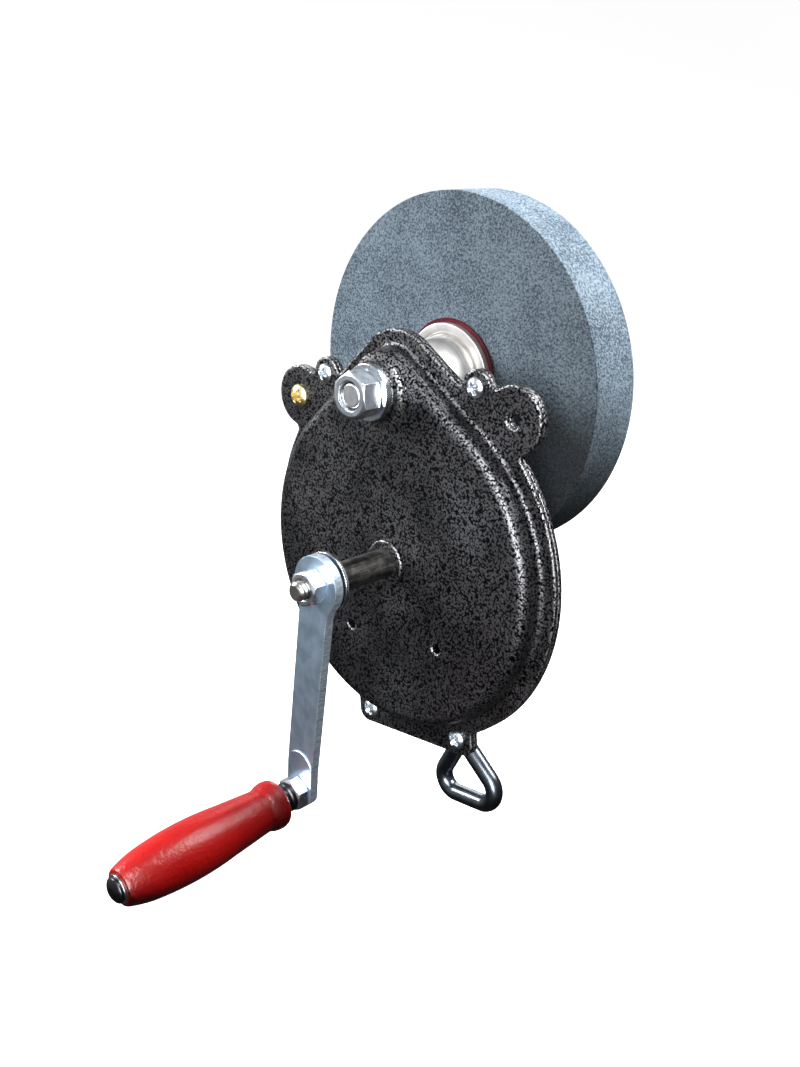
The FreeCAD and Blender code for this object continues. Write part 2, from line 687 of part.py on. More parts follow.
def place_sink(sketch, side):
    """The outline of a countersunk hole, seen from above: its axis is the sketch's own V axis."""
    x = side * dim.face_hole_side
    offset = Vector(x.value, joint_y.value, face_hole_z.value)
    sketch.AttachmentOffset = Placement(offset, Rotation())
    sketch.setExpression("AttachmentOffset.Base.x", x.text)
    sketch.setExpression("AttachmentOffset.Base.y", joint_y.text)
    sketch.setExpression("AttachmentOffset.Base.z", face_hole_z.text)
    head = dim.bracket_screw_head / 2 + dim.thread_play
    shank = dim.bracket_screw / 2 + dim.thread_play
    add_profile(sketch, [
        (0.0, 0.0),
        (head, 0.0),
        (shank, head - shank),
        (shank, dim.sheet_steel * 2),
        (0.0, dim.sheet_steel * 2),
    ])


def build_bushes():
    """Four plain bearings: two for the spindle, two with collars for the crank shaft."""
    inside_y = face_y + dim.sheet_steel
    length = dim.neck_length + dim.sheet_steel
    keep("front_spindle_bush",
         ring("FrontSpindleBush", bush_bore, bush_radius, length, FRONT, 0.0, inside_y, spindle_z))
    length = dim.rear_neck_length + dim.sheet_steel
    keep("rear_spindle_bush",
         ring("RearSpindleBush", bush_bore, bush_radius, length, BACK, 0.0, joint_y, spindle_z))
    collar = bush_radius + dim.bush_flange
    front = [
        (bush_bore, 0.0),
        (bush_radius, 0.0),
        (bush_radius, dim.sheet_steel),
        (collar, dim.sheet_steel),
        (collar, dim.sheet_steel + dim.collar_height),
        (bush_bore, dim.sheet_steel + dim.collar_height),
    ]
    keep("front_crank_bush", turned("FrontCrankBush", front, FRONT, 0.0, inside_y, crank_z))
    seat = dim.sheet_steel + dim.rear_boss_length
    rear = [
        (bush_bore, 0.0),
        (bush_radius, 0.0),
        (bush_radius, seat),
        (collar, seat),
        (collar, seat + dim.sheet_steel),
        (bush_bore, seat + dim.sheet_steel),
    ]
    keep("rear_crank_bush", turned("RearCrankBush", rear, BACK, 0.0, joint_y, crank_z))


def gear_wire(module, teeth, width_play, outside, inside, phase):
    """A spur gear's outline in the XZ plane: involute flanks, each an arc through three points
    of the involute, with arcs for tips and roots. One tooth's middle lies at the angle phase."""
    pressure = math.radians(dim.pressure_angle.value)
    pitch = module * teeth / 2
    base = pitch * math.cos(pressure)
    half = math.pi / (2 * teeth) - width_play / (2 * pitch)
    swing = math.tan(pressure) - pressure

    def flank_angle(radius):
        turn = math.acos(min(1.0, base / radius))
        return half + swing - (math.tan(turn) - turn)

    def point(radius, angle):
        return Vector(radius * math.cos(angle), 0, radius * math.sin(angle))

    low = max(inside, base)
    middle = (low + outside) / 2
    edges = []
    for tooth in range(int(teeth)):
        axis = phase + 2 * math.pi * tooth / teeth
        following = axis + 2 * math.pi / teeth
        rise = [point(r, axis - flank_angle(r)) for r in (low, middle, outside)]
        fall = [point(r, axis + flank_angle(r)) for r in (outside, middle, low)]
        if inside < base:
            edges.append(Part.makeLine(point(inside, axis - flank_angle(low)), rise[0]))
        edges.append(Part.Arc(*rise).toShape())
        edges.append(Part.Arc(rise[2], point(outside, axis), fall[0]).toShape())
        edges.append(Part.Arc(*fall).toShape())
        if inside < base:
            edges.append(Part.makeLine(fall[2], point(inside, axis + flank_angle(low))))
        start = point(inside, axis + flank_angle(low))
        end = point(inside, following - flank_angle(low))
        valley = point(inside, (axis + following) / 2)
        edges.append(Part.Arc(start, valley, end).toShape())
    return Part.Wire(Part.__sortEdges__(edges))


def toothed_disc(teeth, width, phase):
    module = gear_module.value
    pitch = module * teeth / 2
    wire = gear_wire(module, teeth, dim.tooth_play.value / 2, pitch + ADDENDUM * module,
                     pitch - DEDENDUM * module, phase)
    return Part.Face(wire).extrude(Vector(0, width, 0))


def build_drive_gear():
    """Crank gear: a tooth points straight up at the pinion, five round windows, a keyway."""
    disc = toothed_disc(dim.gear_teeth.value, dim.gear_width.value, math.pi / 2)
    width = dim.gear_width.value
    back = Vector(0, 1, 0)
    cutters = [Part.makeCylinder(shaft_radius.value, width, Vector(), back)]
    count = int(dim.window_count.value)
    for number in range(count):
        angle = math.pi / 2 + 2 * math.pi * number / count
        place_x = dim.window_ring.value * math.cos(angle)
        place_z = dim.window_ring.value * math.sin(angle)
        centre = Vector(place_x, 0, place_z)
        cutters.append(Part.makeCylinder(dim.gear_window.value / 2, width, centre, back))
    key = dim.key_side.value
    corner = Vector(-key / 2, 0, 0)
    cutters.append(Part.makeBox(key, width, shaft_radius.value + key / 2, corner))
    gear = doc.addObject("Part::Feature", "DriveGear")
    gear.Shape = disc.cut(cutters)
    place(gear, 0.0, gear_front_y, crank_z)
    keep("drive_gear", gear)
    block = doc.addObject("Part::Box", "GearKey")
    for name, size in (("Length", dim.key_side), ("Width", dim.gear_width), ("Height", dim.key_side)):
        block.setExpression(name, size.text)
    place(block, -dim.key_side / 2, gear_front_y, crank_z + shaft_radius - dim.key_side / 2)
    keep("gear_key", block)


def double_flat(radius, half):
    """Corners of a round seat with two flats, half the width across them given."""
    edge = root(radius * radius - half * half)
    return [
        (edge, -half, (radius, 0.0)),
        (edge, half),
        (-edge, half, (-radius, 0.0)),
        (-edge, -half),
    ]


def build_crank_shaft():
    """Crank shaft: journal, flatted seat for the arm and a threaded end towards the front."""
    rear_y = plate_y + dim.rear_boss_length + dim.sheet_steel + dim.shaft_tail
    length = rear_y - shoulder_y
    bevel = 0.8
    body = turned("CrankShaft", [
        (0.0, -length),
        (shaft_radius - bevel, -length),
        (shaft_radius, bevel - length),
        (shaft_radius, 0.0),
        (0.0, 0.0),
    ], FRONT, 0.0, shoulder_y, crank_z)
    washers = dim.crank_washer + dim.spring_washer
    collar = new_sketch(body, "WasherSeat", "XY_Plane")
    add_circle(collar, 0.0, 0.0, dim.seat_dia / 2)
    pad(body, collar, washers)
    seat = new_sketch(body, "ArmSeat", "XY_Plane")
    turn = Rotation(Vector(0, 0, -1), dim.arm_tilt.value)
    seat.AttachmentOffset = Placement(Vector(0, 0, washers.value), turn)
    seat.setExpression("AttachmentOffset.Base.z", washers.text)
    seat.setExpression("AttachmentOffset.Rotation.Angle", dim.arm_tilt.text)
    add_profile(seat, double_flat(dim.seat_dia / 2, dim.seat_flats / 2))
    pad(body, seat, dim.arm_thick - dim.thread_play)
    end = washers + dim.arm_thick + dim.m8_height + dim.crank_thread_out
    radius = dim.crank_thread / 2
    tip = new_sketch(body, "ThreadedEnd", "XZ_Plane")
    add_profile(tip, [
        (0.0, 0.0),
        (radius, 0.0),
        (radius, end - bevel),
        (radius - bevel, end),
        (0.0, end),
    ])
    revolve(body, tip)
    slot_start = shoulder_y - gear_back_y
    slot = new_sketch(body, "KeySlot", "XY_Plane", slot_start)
    depth = shaft_radius - dim.key_side / 2
    add_rectangle(slot, -dim.key_side / 2, dim.key_side / 2, depth, shaft_radius + bevel)
    pocket(body, slot, dim.gear_width, backwards=False)
    groove_start = rear_y - dim.shaft_tail
    groove = new_sketch(body, "RingGroove", "XZ_Plane")
    low = shoulder_y - groove_start - dim.ring_thick - dim.thread_play
    high = shoulder_y - groove_start + dim.thread_play
    add_rectangle(groove, shaft_radius - bevel, shaft_radius + bevel, low, high)
    revolve(body, groove, cut=True)
    keep("crank_shaft", body)
    clip = ring("CrankCirclip", shaft_radius - bevel + dim.thread_play, dim.ring_dia / 2,
                dim.ring_thick, BACK, 0.0, groove_start, crank_z)
    keep("crank_circlip", clip)


def build_crank_arm():
    """Flat steel arm with a round eye, a tapered bar and a foot bent back by a few degrees."""
    body = new_body("CrankArm")
    bend_z = dim.arm_bend_reach - dim.arm_length
    eye = new_sketch(body, "ArmEye", "XZ_Plane")
    add_circle(eye, 0.0, 0.0, dim.arm_eye)
    pad(body, eye, dim.arm_thick)
    share = (dim.arm_length - dim.arm_bend_reach) / dim.arm_length
    at_bend = dim.arm_top - (dim.arm_top - dim.arm_foot) * share
    bar = new_sketch(body, "ArmBar", "XZ_Plane")
    add_profile(bar, [
        (-at_bend, bend_z),
        (at_bend, bend_z),
        (dim.arm_top, 0.0),
        (-dim.arm_top, 0.0),
    ])
    pad(body, bar, dim.arm_thick)

    def neck(edge, faces):
        low = edge.BoundBox.ZMax < 0
        high = edge.BoundBox.ZMin > -dim.arm_eye.value
        corner = spans(edge, "y", dim.arm_thick.value) and has_corner(edge, faces)
        return low and high and corner

    round_edges(body, "ArmNeck", neck, dim.arm_eye)
    foot = new_sketch(body, "ArmFoot", "XZ_Plane")
    turn = Rotation(Vector(1, 0, 0), dim.arm_bend.value)
    foot.AttachmentOffset = Placement(Vector(0, bend_z.value, dim.arm_thick.value), turn)
    foot.setExpression("AttachmentOffset.Base.y", bend_z.text)
    foot.setExpression("AttachmentOffset.Base.z", dim.arm_thick.text)
    add_belt(foot, [(0.0, -dim.arm_bend_reach, dim.arm_foot), (0.0, 0.0, at_bend)])
    pad(body, foot, dim.arm_thick, True)
    hole = new_sketch(body, "ArmHole", "XZ_Plane")
    play = dim.thread_play
    add_profile(hole, double_flat(dim.seat_dia / 2 + play, dim.seat_flats / 2 + play))
    pocket(body, hole, backwards=False)
    bolt = new_sketch(body, "ArmBoltHole", "XZ_Plane")
    bolt.AttachmentOffset = Placement(Vector(0, bend_z.value, dim.arm_thick.value), turn)
    bolt.setExpression("AttachmentOffset.Base.y", bend_z.text)
    bolt.setExpression("AttachmentOffset.Base.z", dim.arm_thick.text)
    add_circle(bolt, 0.0, -dim.arm_bend_reach, dim.bolt_dia / 2 + dim.thread_play)
    pocket(body, bolt, dim.arm_thick * 2, backwards=True)
    spin = Rotation(Vector(0, 1, 0), dim.arm_tilt.value)
    place(body, 0.0, arm_back_y, crank_z, spin)
    return keep("crank_arm", body)


# The handle turns about an axis square to the arm's bent foot.
outward = Vector(0, -math.cos(math.radians(dim.arm_bend.value)),
                 -math.sin(math.radians(dim.arm_bend.value)))
outward = Rotation(Vector(0, 1, 0), dim.arm_tilt.value).multVec(outward)
HANDLE = Rotation(Vector(0, 0, 1), outward)
along_foot = dim.arm_length - dim.arm_bend_reach + dim.arm_bend_reach * cosine(dim.arm_bend)
foot_x = -along_foot * sine(dim.arm_tilt)
foot_z = crank_z - along_foot * cosine(dim.arm_tilt)
foot_y = arm_front_y + dim.arm_bend_reach * sine(dim.arm_bend)


def on_handle_axis(piece, distance):
    """Put a turned piece on the handle's axis, a distance out from the arm."""
    distance = sized(distance)
    lean = sine(dim.arm_bend)
    x = foot_x - distance * lean * sine(dim.arm_tilt)
    y = foot_y - distance * cosine(dim.arm_bend)
    z = foot_z - distance * lean * cosine(dim.arm_tilt)
    place(piece, x, y, z, HANDLE)
    return piece


def build_handle():
    """Bolt, nut, ferrule, turned wooden handle and the bright ring under the bolt's head."""
    ferrule_at = dim.handle_nut_height
    handle_at = ferrule_at + dim.ferrule_length + dim.end_play
    ring_at = handle_at + dim.handle_length + dim.end_play
    head_at = ring_at + dim.handle_ring
    bolt_radius = dim.bolt_dia / 2
    head = dim.bolt_head_dia / 2
    edge_at = head_at + dim.bolt_head * 0.4
    tail = dim.arm_thick + 1.0
    bolt = turned("HandleBolt", [
        (0.0, -tail),
        (bolt_radius, -tail),
        (bolt_radius, head_at),
        (head, head_at),
        (head, edge_at, cap_middle(head, edge_at, head_at + dim.bolt_head)),
        (0.0, head_at + dim.bolt_head),
    ])
    keep("handle_bolt", on_handle_axis(bolt, 0.0))
    bore = bolt_radius + dim.thread_play
    nut = hex_nut("HandleNut", dim.m8_flats, dim.handle_nut_height, bore)
    keep("handle_nut", on_handle_axis(nut, 0.0))
    wide = dim.ferrule_dia / 2
    ferrule = turned("HandleFerrule", [
        (bore, 0.0),
        (wide, 0.0),
        (wide, dim.ferrule_length * 0.35),
        (wide * 0.9, dim.ferrule_length * 0.5),
        (wide * 0.9, dim.ferrule_length),
        (bore, dim.ferrule_length),
    ])
    keep("handle_ferrule", on_handle_axis(ferrule, ferrule_at))
    loose = bolt_radius + dim.handle_play
    belly = dim.handle_dia / 2
    full = belly - 1.0
    length = dim.handle_length
    grip = turned("WoodenHandle", [
        (loose, 0.0),
        (dim.bead_dia / 2 - 3.2, 0.0, (dim.bead_dia / 2 - 0.9, 1.2)),
        (dim.bead_dia / 2, 3.6, (dim.bead_dia / 2 - 0.3, 6.8)),
        (dim.groove_dia / 2, 9.6),
        (full, length * 0.38, (belly, length * 0.6)),
        (full, length * 0.82, (belly - 2.6, length * 0.93)),
        (dim.tail_dia / 2, length),
        (loose, length),
    ])
    keep("wooden_handle", on_handle_axis(grip, handle_at))
    bright = ring("HandleRing", bore, dim.handle_ring_dia / 2, dim.handle_ring)
    keep("handle_ring", on_handle_axis(bright, ring_at))


def build_crank_fasteners():
    bore = dim.seat_dia / 2 + dim.thread_play
    plain = ring("CrankWasher", bore, dim.crank_washer_dia / 2, dim.crank_washer, FRONT,
                 0.0, shoulder_y, crank_z)
    keep("crank_washer", plain)
    spring = ring("CrankSpringWasher", bore, dim.spring_washer_dia / 2, dim.spring_washer, FRONT,
                  0.0, shoulder_y - dim.crank_washer, crank_z)
    keep("crank_spring_washer", spring)
    nut = hex_nut("CrankNut", dim.m8_flats, dim.m8_height, dim.crank_thread / 2 + dim.thread_play,
                  FRONT, 0.0, arm_front_y, crank_z)
    keep("crank_nut", nut)


def build_spindle():
    """Wheel spindle with the pinion cut on it, threaded at both ends."""
    nose_y = face_y - dim.neck_length - dim.end_play
    front_y = nose_y - dim.nose_washer - dim.nose_nut_height + dim.nose_recess
    stack = dim.blotter_thick + dim.flange_thick + dim.outer_hub_height + dim.wheel_washer
    rear_y = wheel_back_y + stack + dim.wheel_nut_height + dim.tail_out
    bevel = 1.0
    nose = dim.nose_thread / 2
    body = turned("Spindle", [
        (0.0, -rear_y),
        (shaft_radius - bevel, -rear_y),
        (shaft_radius, bevel - rear_y),
        (shaft_radius, -nose_y),
        (nose, -nose_y),
        (nose, -front_y - bevel, (nose - bevel * 0.3, -front_y - bevel * 0.3)),
        (nose - bevel, -front_y),
        (0.0, -front_y),
    ], FRONT, 0.0, 0.0, spindle_z)
    teeth = doc.addObject("Part::Feature", "PinionTeeth")
    count = dim.pinion_teeth.value
    teeth.Shape = toothed_disc(count, dim.pinion_width.value, -math.pi / 2 + math.pi / count)
    place(teeth, 0.0, pinion_front_y, spindle_z)
    spindle = doc.addObject("Part::Fuse", "PinionSpindle")
    spindle.Base = body
    spindle.Tool = teeth
    keep("pinion_spindle", spindle)
    washer = ring("SpindleWasher", nose + dim.thread_play, dim.nose_washer_dia / 2,
                  dim.nose_washer, FRONT, 0.0, nose_y, spindle_z)
    keep("spindle_washer", washer)
    nut = hex_nut("SpindleNut", dim.nose_nut_flats, dim.nose_nut_height, nose + dim.thread_play,
                  FRONT, 0.0, nose_y - dim.nose_washer, spindle_z)
    keep("spindle_nut", nut)


def build_wheel():
    """Abrasive wheel between paper washers and flanges, with its nut at the back."""
    bore = shaft_radius + dim.thread_play
    radius = dim.wheel_dia / 2
    edge = dim.wheel_edge
    width = dim.wheel_width
    wheel = turned("GrindingWheel", [
        (bore, 0.0),
        (radius - edge, 0.0),
        (radius, edge),
        (radius, width - edge),
        (radius - edge, width),
        (bore, width),
    ], BACK, 0.0, wheel_front_y, spindle_z)
    keep("grinding_wheel", wheel)
    paper = dim.blotter_dia / 2
    keep("front_blotter", ring("FrontBlotter", bore, paper, dim.blotter_thick, FRONT,
                               0.0, wheel_front_y, spindle_z))
    keep("rear_blotter", ring("RearBlotter", bore, paper, dim.blotter_thick, BACK,
                              0.0, wheel_back_y, spindle_z))
    rim = dim.flange_dia / 2
    thick = dim.flange_thick
    foot = dim.dome_dia / 2
    nose = dim.dome_nose / 2
    top = thick + dim.dome_height
    relief = 0.8
    inner = turned("InnerFlange", [
        (bore, relief),
        (rim * 0.6, relief),
        (rim * 0.6, 0.0),
        (rim, 0.0),
        (rim, thick),
        (foot + relief, thick),
        (foot, thick - relief / 2),
        (foot, thick, (foot * 0.9, thick + dim.dome_height * 0.55)),
        (nose, top),
        (bore, top),
    ], FRONT, 0.0, wheel_front_y - dim.blotter_thick, spindle_z)
    keep("inner_flange", inner)
    hub = dim.outer_hub / 2
    full = thick + dim.outer_hub_height
    outer = turned("OuterFlange", [
        (bore, relief),
        (rim * 0.6, relief),
        (rim * 0.6, 0.0),
        (rim, 0.0),
        (rim, thick),
        (hub + relief, thick, (hub + relief * 0.3, thick + relief * 0.3)),
        (hub, thick + relief),
        (hub, full),
        (bore, full),
    ], BACK, 0.0, wheel_back_y + dim.blotter_thick, spindle_z)
    keep("outer_flange", outer)
    washer_y = wheel_back_y + dim.blotter_thick + full
    washer = ring("WheelWasher", bore, dim.wheel_washer_dia / 2, dim.wheel_washer, BACK,
                  0.0, washer_y, spindle_z)
    keep("wheel_washer", washer)
    nut = hex_nut("WheelNut", dim.wheel_nut_flats, dim.wheel_nut_height, bore, BACK,
                  0.0, washer_y + dim.wheel_washer, spindle_z)
    keep("wheel_nut", nut)


def build_housing_fasteners():
    """Pan head screws of the lugs and the foot tab, and the brass screw in the left ear."""
    flange_y = joint_y - dim.sheet_steel
    sheets = dim.sheet_steel * 2
    through = sheets + dim.m4_height + dim.screw_out
    screw = pan_screw("LugScrew", dim.m4_shank, dim.m4_head_dia, dim.m4_head, through,
                      lug_side, flange_y, lug_z)
    mirrored_pair("lug_screws", screw)
    bore = dim.m4_shank / 2 + dim.thread_play
    nut = hex_nut("LugNut", dim.m4_flats, dim.m4_height, bore, BACK, lug_side, plate_y, lug_z)
    mirrored_pair("lug_nuts", nut)
    screw = pan_screw("TabScrew", dim.m4_shank, dim.m4_head_dia, dim.m4_head,
                      sheets + dim.foot_thick, dim.tab_screw_side, flange_y, tab_screw_z)
    mirrored_pair("tab_screws", screw)
    through = sheets + dim.m5_height + dim.screw_out
    screw = pan_screw("EarScrew", dim.m5_shank, dim.m5_head_dia, dim.m5_head, through,
                      -ear_side, flange_y, ear_z)
    keep("ear_screw", screw)
    bore = dim.m5_shank / 2 + dim.thread_play
    nut = hex_nut("EarNut", dim.m5_flats, dim.m5_height, bore, BACK, -ear_side, plate_y, ear_z)
    keep("ear_nut", nut)


def build_clamp_bracket():
    """Cast C bracket: web with four screw lugs, upper jaw with ribs, lower arm with a boss."""
    body = new_body("ClampBracket")
    web = new_sketch(body, "Web", "XZ_Plane", -plate_y)
    add_rectangle(web, -dim.web_half_width, dim.web_half_width, underside_z, dim.web_top)
    pad(body, web, dim.web_thick, True)
    rows = (
        ("Foot", dim.tab_screw_side, tab_screw_z, dim.foot_lug),
        ("Upper", dim.face_hole_side, face_hole_z, dim.upper_lug),
    )
    for name, side, height, radius in rows:
        strip = new_sketch(body, name + "Lugs", "XZ_Plane", -plate_y)
        add_belt(strip, [(-side, height, radius), (side, height, radius)])
        pad(body, strip, dim.foot_thick, True)
    jaw = new_sketch(body, "Jaw", "XY_Plane")
    add_rectangle(jaw, -dim.jaw_half_width, dim.jaw_half_width, plate_y, dim.jaw_reach)
    pad(body, jaw, dim.jaw_thick)

    def jaw_end(edge, faces):
        at_end = abs(edge.BoundBox.YMin - dim.jaw_reach.value) < 1e-3
        return at_end and spans(edge, "z", dim.jaw_thick.value)

    round_edges(body, "JawCorners", jaw_end, dim.jaw_corner)
    for side, name in ((-1, "LeftRib"), (1, "RightRib")):
        near = dim.rib_side if side > 0 else -dim.rib_side - dim.rib_thick
        rib = new_sketch(body, name, "YZ_Plane", near)
        add_profile(rib, [
            (plate_y, dim.jaw_thick),
            (plate_y + dim.rib_reach, dim.jaw_thick),
            (plate_y + dim.rib_thick, dim.jaw_thick + dim.rib_height),
            (plate_y, dim.jaw_thick + dim.rib_height),
        ])
        pad(body, rib, dim.rib_thick)
    arm = new_sketch(body, "LowerArm", "XY_Plane", underside_z)
    add_rectangle(arm, -dim.lower_half_width, dim.lower_half_width, plate_y, 0.0)
    pad(body, arm, dim.arm_plate)
    boss = new_sketch(body, "ScrewBoss", "XY_Plane", underside_z)
    add_circle(boss, 0.0, 0.0, dim.boss_radius)
    pad(body, boss, dim.arm_plate)
    web_y = plate_y + dim.web_thick

    def throat_corner(edge, faces):
        box = edge.BoundBox
        at_web = abs(box.YMin - web_y.value) < 1e-3 and abs(box.YMax - web_y.value) < 1e-3
        at_jaw = abs(box.ZMin) < 1e-3 and abs(box.ZMax) < 1e-3
        at_arm = abs(box.ZMin - arm_floor_z.value) < 1e-3 and box.ZLength < 1e-3
        return at_web and (at_jaw or at_arm)

    round_edges(body, "ThroatCorners", throat_corner, dim.corner_radius)
    hole = new_sketch(body, "ScrewThread", "XY_Plane", underside_z)
    add_circle(hole, 0.0, 0.0, dim.clamp_thread / 2 + dim.thread_play)
    pocket(body, hole, dim.arm_plate, backwards=False)
    taps = new_sketch(body, "TappedHoles", "XZ_Plane", -plate_y)
    for side in (-1, 1):
        radius = dim.m4_shank / 2 + dim.thread_play
        add_circle(taps, side * dim.tab_screw_side, tab_screw_z, radius)
        radius = dim.bracket_screw / 2 + dim.thread_play
        add_circle(taps, side * dim.face_hole_side, face_hole_z, radius)
    pocket(body, taps, dim.web_thick, backwards=True)
    keep("clamp_bracket", body)
    head = dim.bracket_screw_head / 2
    shank = dim.bracket_screw / 2
    flat = 0.2
    screw = turned("BracketScrew", [
        (0.0, flat),
        (head - flat, flat),
        (shank, head - shank),
        (shank, dim.bracket_screw_length),
        (0.0, dim.bracket_screw_length),
    ], BACK, dim.face_hole_side, joint_y, face_hole_z)
    mirrored_pair("bracket_screws", screw)


def build_clamp_screw():
    """Clamp screw whose lower end is bent into a rounded triangular loop, and its pad."""
    body = new_body("ClampScrew")
    radius = dim.clamp_thread / 2
    corner_z = underside_z - dim.loop_drop
    apex_z = corner_z + dim.loop_height
    side = dim.loop_half_width
    path = new_sketch(body, "LoopPath", "XZ_Plane")
    add_belt(path, [
        (-side, corner_z, dim.loop_corner),
        (side, corner_z, dim.loop_corner),
        (0.0, apex_z, dim.loop_apex),
    ])
    section = new_sketch(body, "LoopSection", "YZ_Plane", -side)
    add_circle(section, 0.0, corner_z - dim.loop_corner, radius)
    doc.recompute()
    loop = body.newObject("PartDesign::AdditivePipe", "Loop")
    loop.Profile = section
    loop.Spine = path
    doc.recompute()
    cup_z = -dim.pad_gap - dim.pad_thick - dim.pad_cup_height
    stem = new_sketch(body, "Stem", "XY_Plane", apex_z + dim.loop_apex)
    add_circle(stem, 0.0, 0.0, radius)
    pad(body, stem, cup_z - dim.end_play - apex_z - dim.loop_apex)
    pin = new_sketch(body, "EndPin", "XY_Plane", cup_z - dim.end_play)
    add_circle(pin, 0.0, 0.0, dim.pad_pin / 2)
    pad(body, pin, dim.pad_cup_height)
    keep("clamp_screw", body)
    disc = dim.pad_radius
    cup = dim.pad_cup
    low = dim.pad_cup_height
    full = low + dim.pad_thick
    bevel = 0.8
    bore = dim.pad_pin / 2 + dim.journal_play
    piece = turned("ClampPad", [
        (bore, 0.0),
        (cup, 0.0),
        (cup, low),
        (disc, low + bevel),
        (disc, full - bevel),
        (disc - bevel, full),
        (0.0, full),
        (0.0, low),
        (bore, low),
    ], UPRIGHT, 0.0, 0.0, cup_z)
    keep("clamp_pad", piece)


build_front_housing()
build_rear_housing()
build_bushes()
build_drive_gear()
build_crank_shaft()
build_crank_arm()
build_handle()
build_crank_fasteners()
build_spindle()
build_wheel()
build_housing_fasteners()
build_clamp_bracket()
build_clamp_screw()
doc.recompute()

faulty = [item.Name for item in doc.Objects if {"Invalid", "Error"} & set(item.State)]
if faulty:
    raise RuntimeError("failed objects: " + ", ".join(faulty))
for piece in nodes:
    if piece.Shape.isNull() or not piece.Shape.isValid():
        raise RuntimeError("bad shape: " + piece.Label)

os.makedirs("parts", exist_ok=True)
for piece in nodes:
    piece.Shape.exportStep("parts/%s.step" % piece.Label)
    print(piece.Label, len(piece.Shape.Solids), round(piece.Shape.Volume, 1))
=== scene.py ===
import json
import math

import bpy
import bmesh
import numpy as np
from bpy.props import FloatProperty, FloatVectorProperty, PointerProperty
from mathutils import Matrix, Vector

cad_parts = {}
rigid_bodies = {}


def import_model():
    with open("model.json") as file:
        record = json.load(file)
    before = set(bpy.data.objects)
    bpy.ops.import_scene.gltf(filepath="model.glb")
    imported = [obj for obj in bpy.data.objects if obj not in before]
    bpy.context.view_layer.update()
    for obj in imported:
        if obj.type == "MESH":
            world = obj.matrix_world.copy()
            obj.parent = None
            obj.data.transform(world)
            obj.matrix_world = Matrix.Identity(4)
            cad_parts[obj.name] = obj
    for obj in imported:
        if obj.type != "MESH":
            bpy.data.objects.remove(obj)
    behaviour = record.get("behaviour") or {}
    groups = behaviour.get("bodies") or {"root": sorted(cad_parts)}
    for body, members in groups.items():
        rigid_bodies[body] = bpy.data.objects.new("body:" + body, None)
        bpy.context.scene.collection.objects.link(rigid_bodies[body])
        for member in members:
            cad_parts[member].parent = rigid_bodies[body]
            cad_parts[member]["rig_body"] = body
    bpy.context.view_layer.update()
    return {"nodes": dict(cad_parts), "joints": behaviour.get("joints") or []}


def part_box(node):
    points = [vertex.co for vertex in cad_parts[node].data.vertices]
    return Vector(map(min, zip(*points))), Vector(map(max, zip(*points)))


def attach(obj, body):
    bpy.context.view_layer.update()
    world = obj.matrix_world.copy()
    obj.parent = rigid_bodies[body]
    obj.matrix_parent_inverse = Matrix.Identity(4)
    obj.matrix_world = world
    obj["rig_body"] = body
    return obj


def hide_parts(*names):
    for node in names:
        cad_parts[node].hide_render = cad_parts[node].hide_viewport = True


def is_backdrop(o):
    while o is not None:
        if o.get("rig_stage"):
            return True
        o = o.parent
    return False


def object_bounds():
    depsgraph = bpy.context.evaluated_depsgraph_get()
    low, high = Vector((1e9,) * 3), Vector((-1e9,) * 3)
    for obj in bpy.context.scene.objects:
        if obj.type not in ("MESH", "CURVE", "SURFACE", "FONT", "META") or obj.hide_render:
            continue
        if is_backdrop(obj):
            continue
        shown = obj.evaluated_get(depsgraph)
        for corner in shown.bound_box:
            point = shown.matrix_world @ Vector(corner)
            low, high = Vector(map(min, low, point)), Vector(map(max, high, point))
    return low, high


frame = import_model()

bl_info = {
    "name": "Hand crank bench grinder",
    "version": (1, 0, 0),
    "blender": (4, 5, 0),
    "location": "3D View > Sidebar > Grinder",
    "description": "Dresses the hand crank bench grinder and lights it for a product photo",
    "category": "Object",
}

MM = 0.001
NODES = frame["nodes"]
JOINTS = {joint["name"]: joint for joint in frame["joints"]}
FORWARD = (0, -1, 0)
BACKWARD = (0, 1, 0)
UPWARD = (0, 0, 1)

# Hardware sizes in mm: bolts run freely in their bores, and flats are the width over a hexagon
BOLT_PLAY = 0.05
M8_BORE = 4.0 + BOLT_PLAY
M8_FLATS = 13.0
M10_BORE = 5.0 + BOLT_PLAY
M10_FLATS = 17.0
WHEEL_BORE = 6.0 + BOLT_PLAY

# Faces that meet at more than this angle keep a sharp edge between them
SHARP_ANGLE = math.radians(32)


# Shapes

def smooth_step(x):
    """0 below 0, 1 above 1, and the cubic 3x^2 - 2x^3 between."""
    x = np.clip(x, 0.0, 1.0)
    return x * x * (3 - 2 * x)


def outline(corners, radius=0.0, step=0.35):
    """Points along an outline of (radius, height) corners in mm. A third entry makes the way to
    the next corner an arc through that point, cut into steps of the given length. Other corners
    are rounded: the points run along the quadratic curve (1-t)^2 a + 2t(1-t) c + t^2 b between
    the two points a and b at the rounding's distance from the corner c."""
    ends = [np.array(corner[:2], float) for corner in corners]
    rows = []
    for number, corner in enumerate(corners):
        here = ends[number]
        curved = len(corner) == 3 or (number > 0 and len(corners[number - 1]) == 3)
        if curved or radius == 0.0 or number in (0, len(corners) - 1):
            rows.append(here[None])
        else:
            before = ends[number - 1] - here
            after = ends[number + 1] - here
            cut = min(radius, 0.45 * np.linalg.norm(before), 0.45 * np.linalg.norm(after))
            start = here + before / np.linalg.norm(before) * cut
            end = here + after / np.linalg.norm(after) * cut
            t = np.linspace(0, 1, 5)[:, None]
            rows.append((1 - t) ** 2 * start + 2 * t * (1 - t) * here + t ** 2 * end)
        if len(corner) == 3:
            rows.append(arc_points(here, np.array(corner[2], float), ends[number + 1], step))
    return np.vstack(rows)


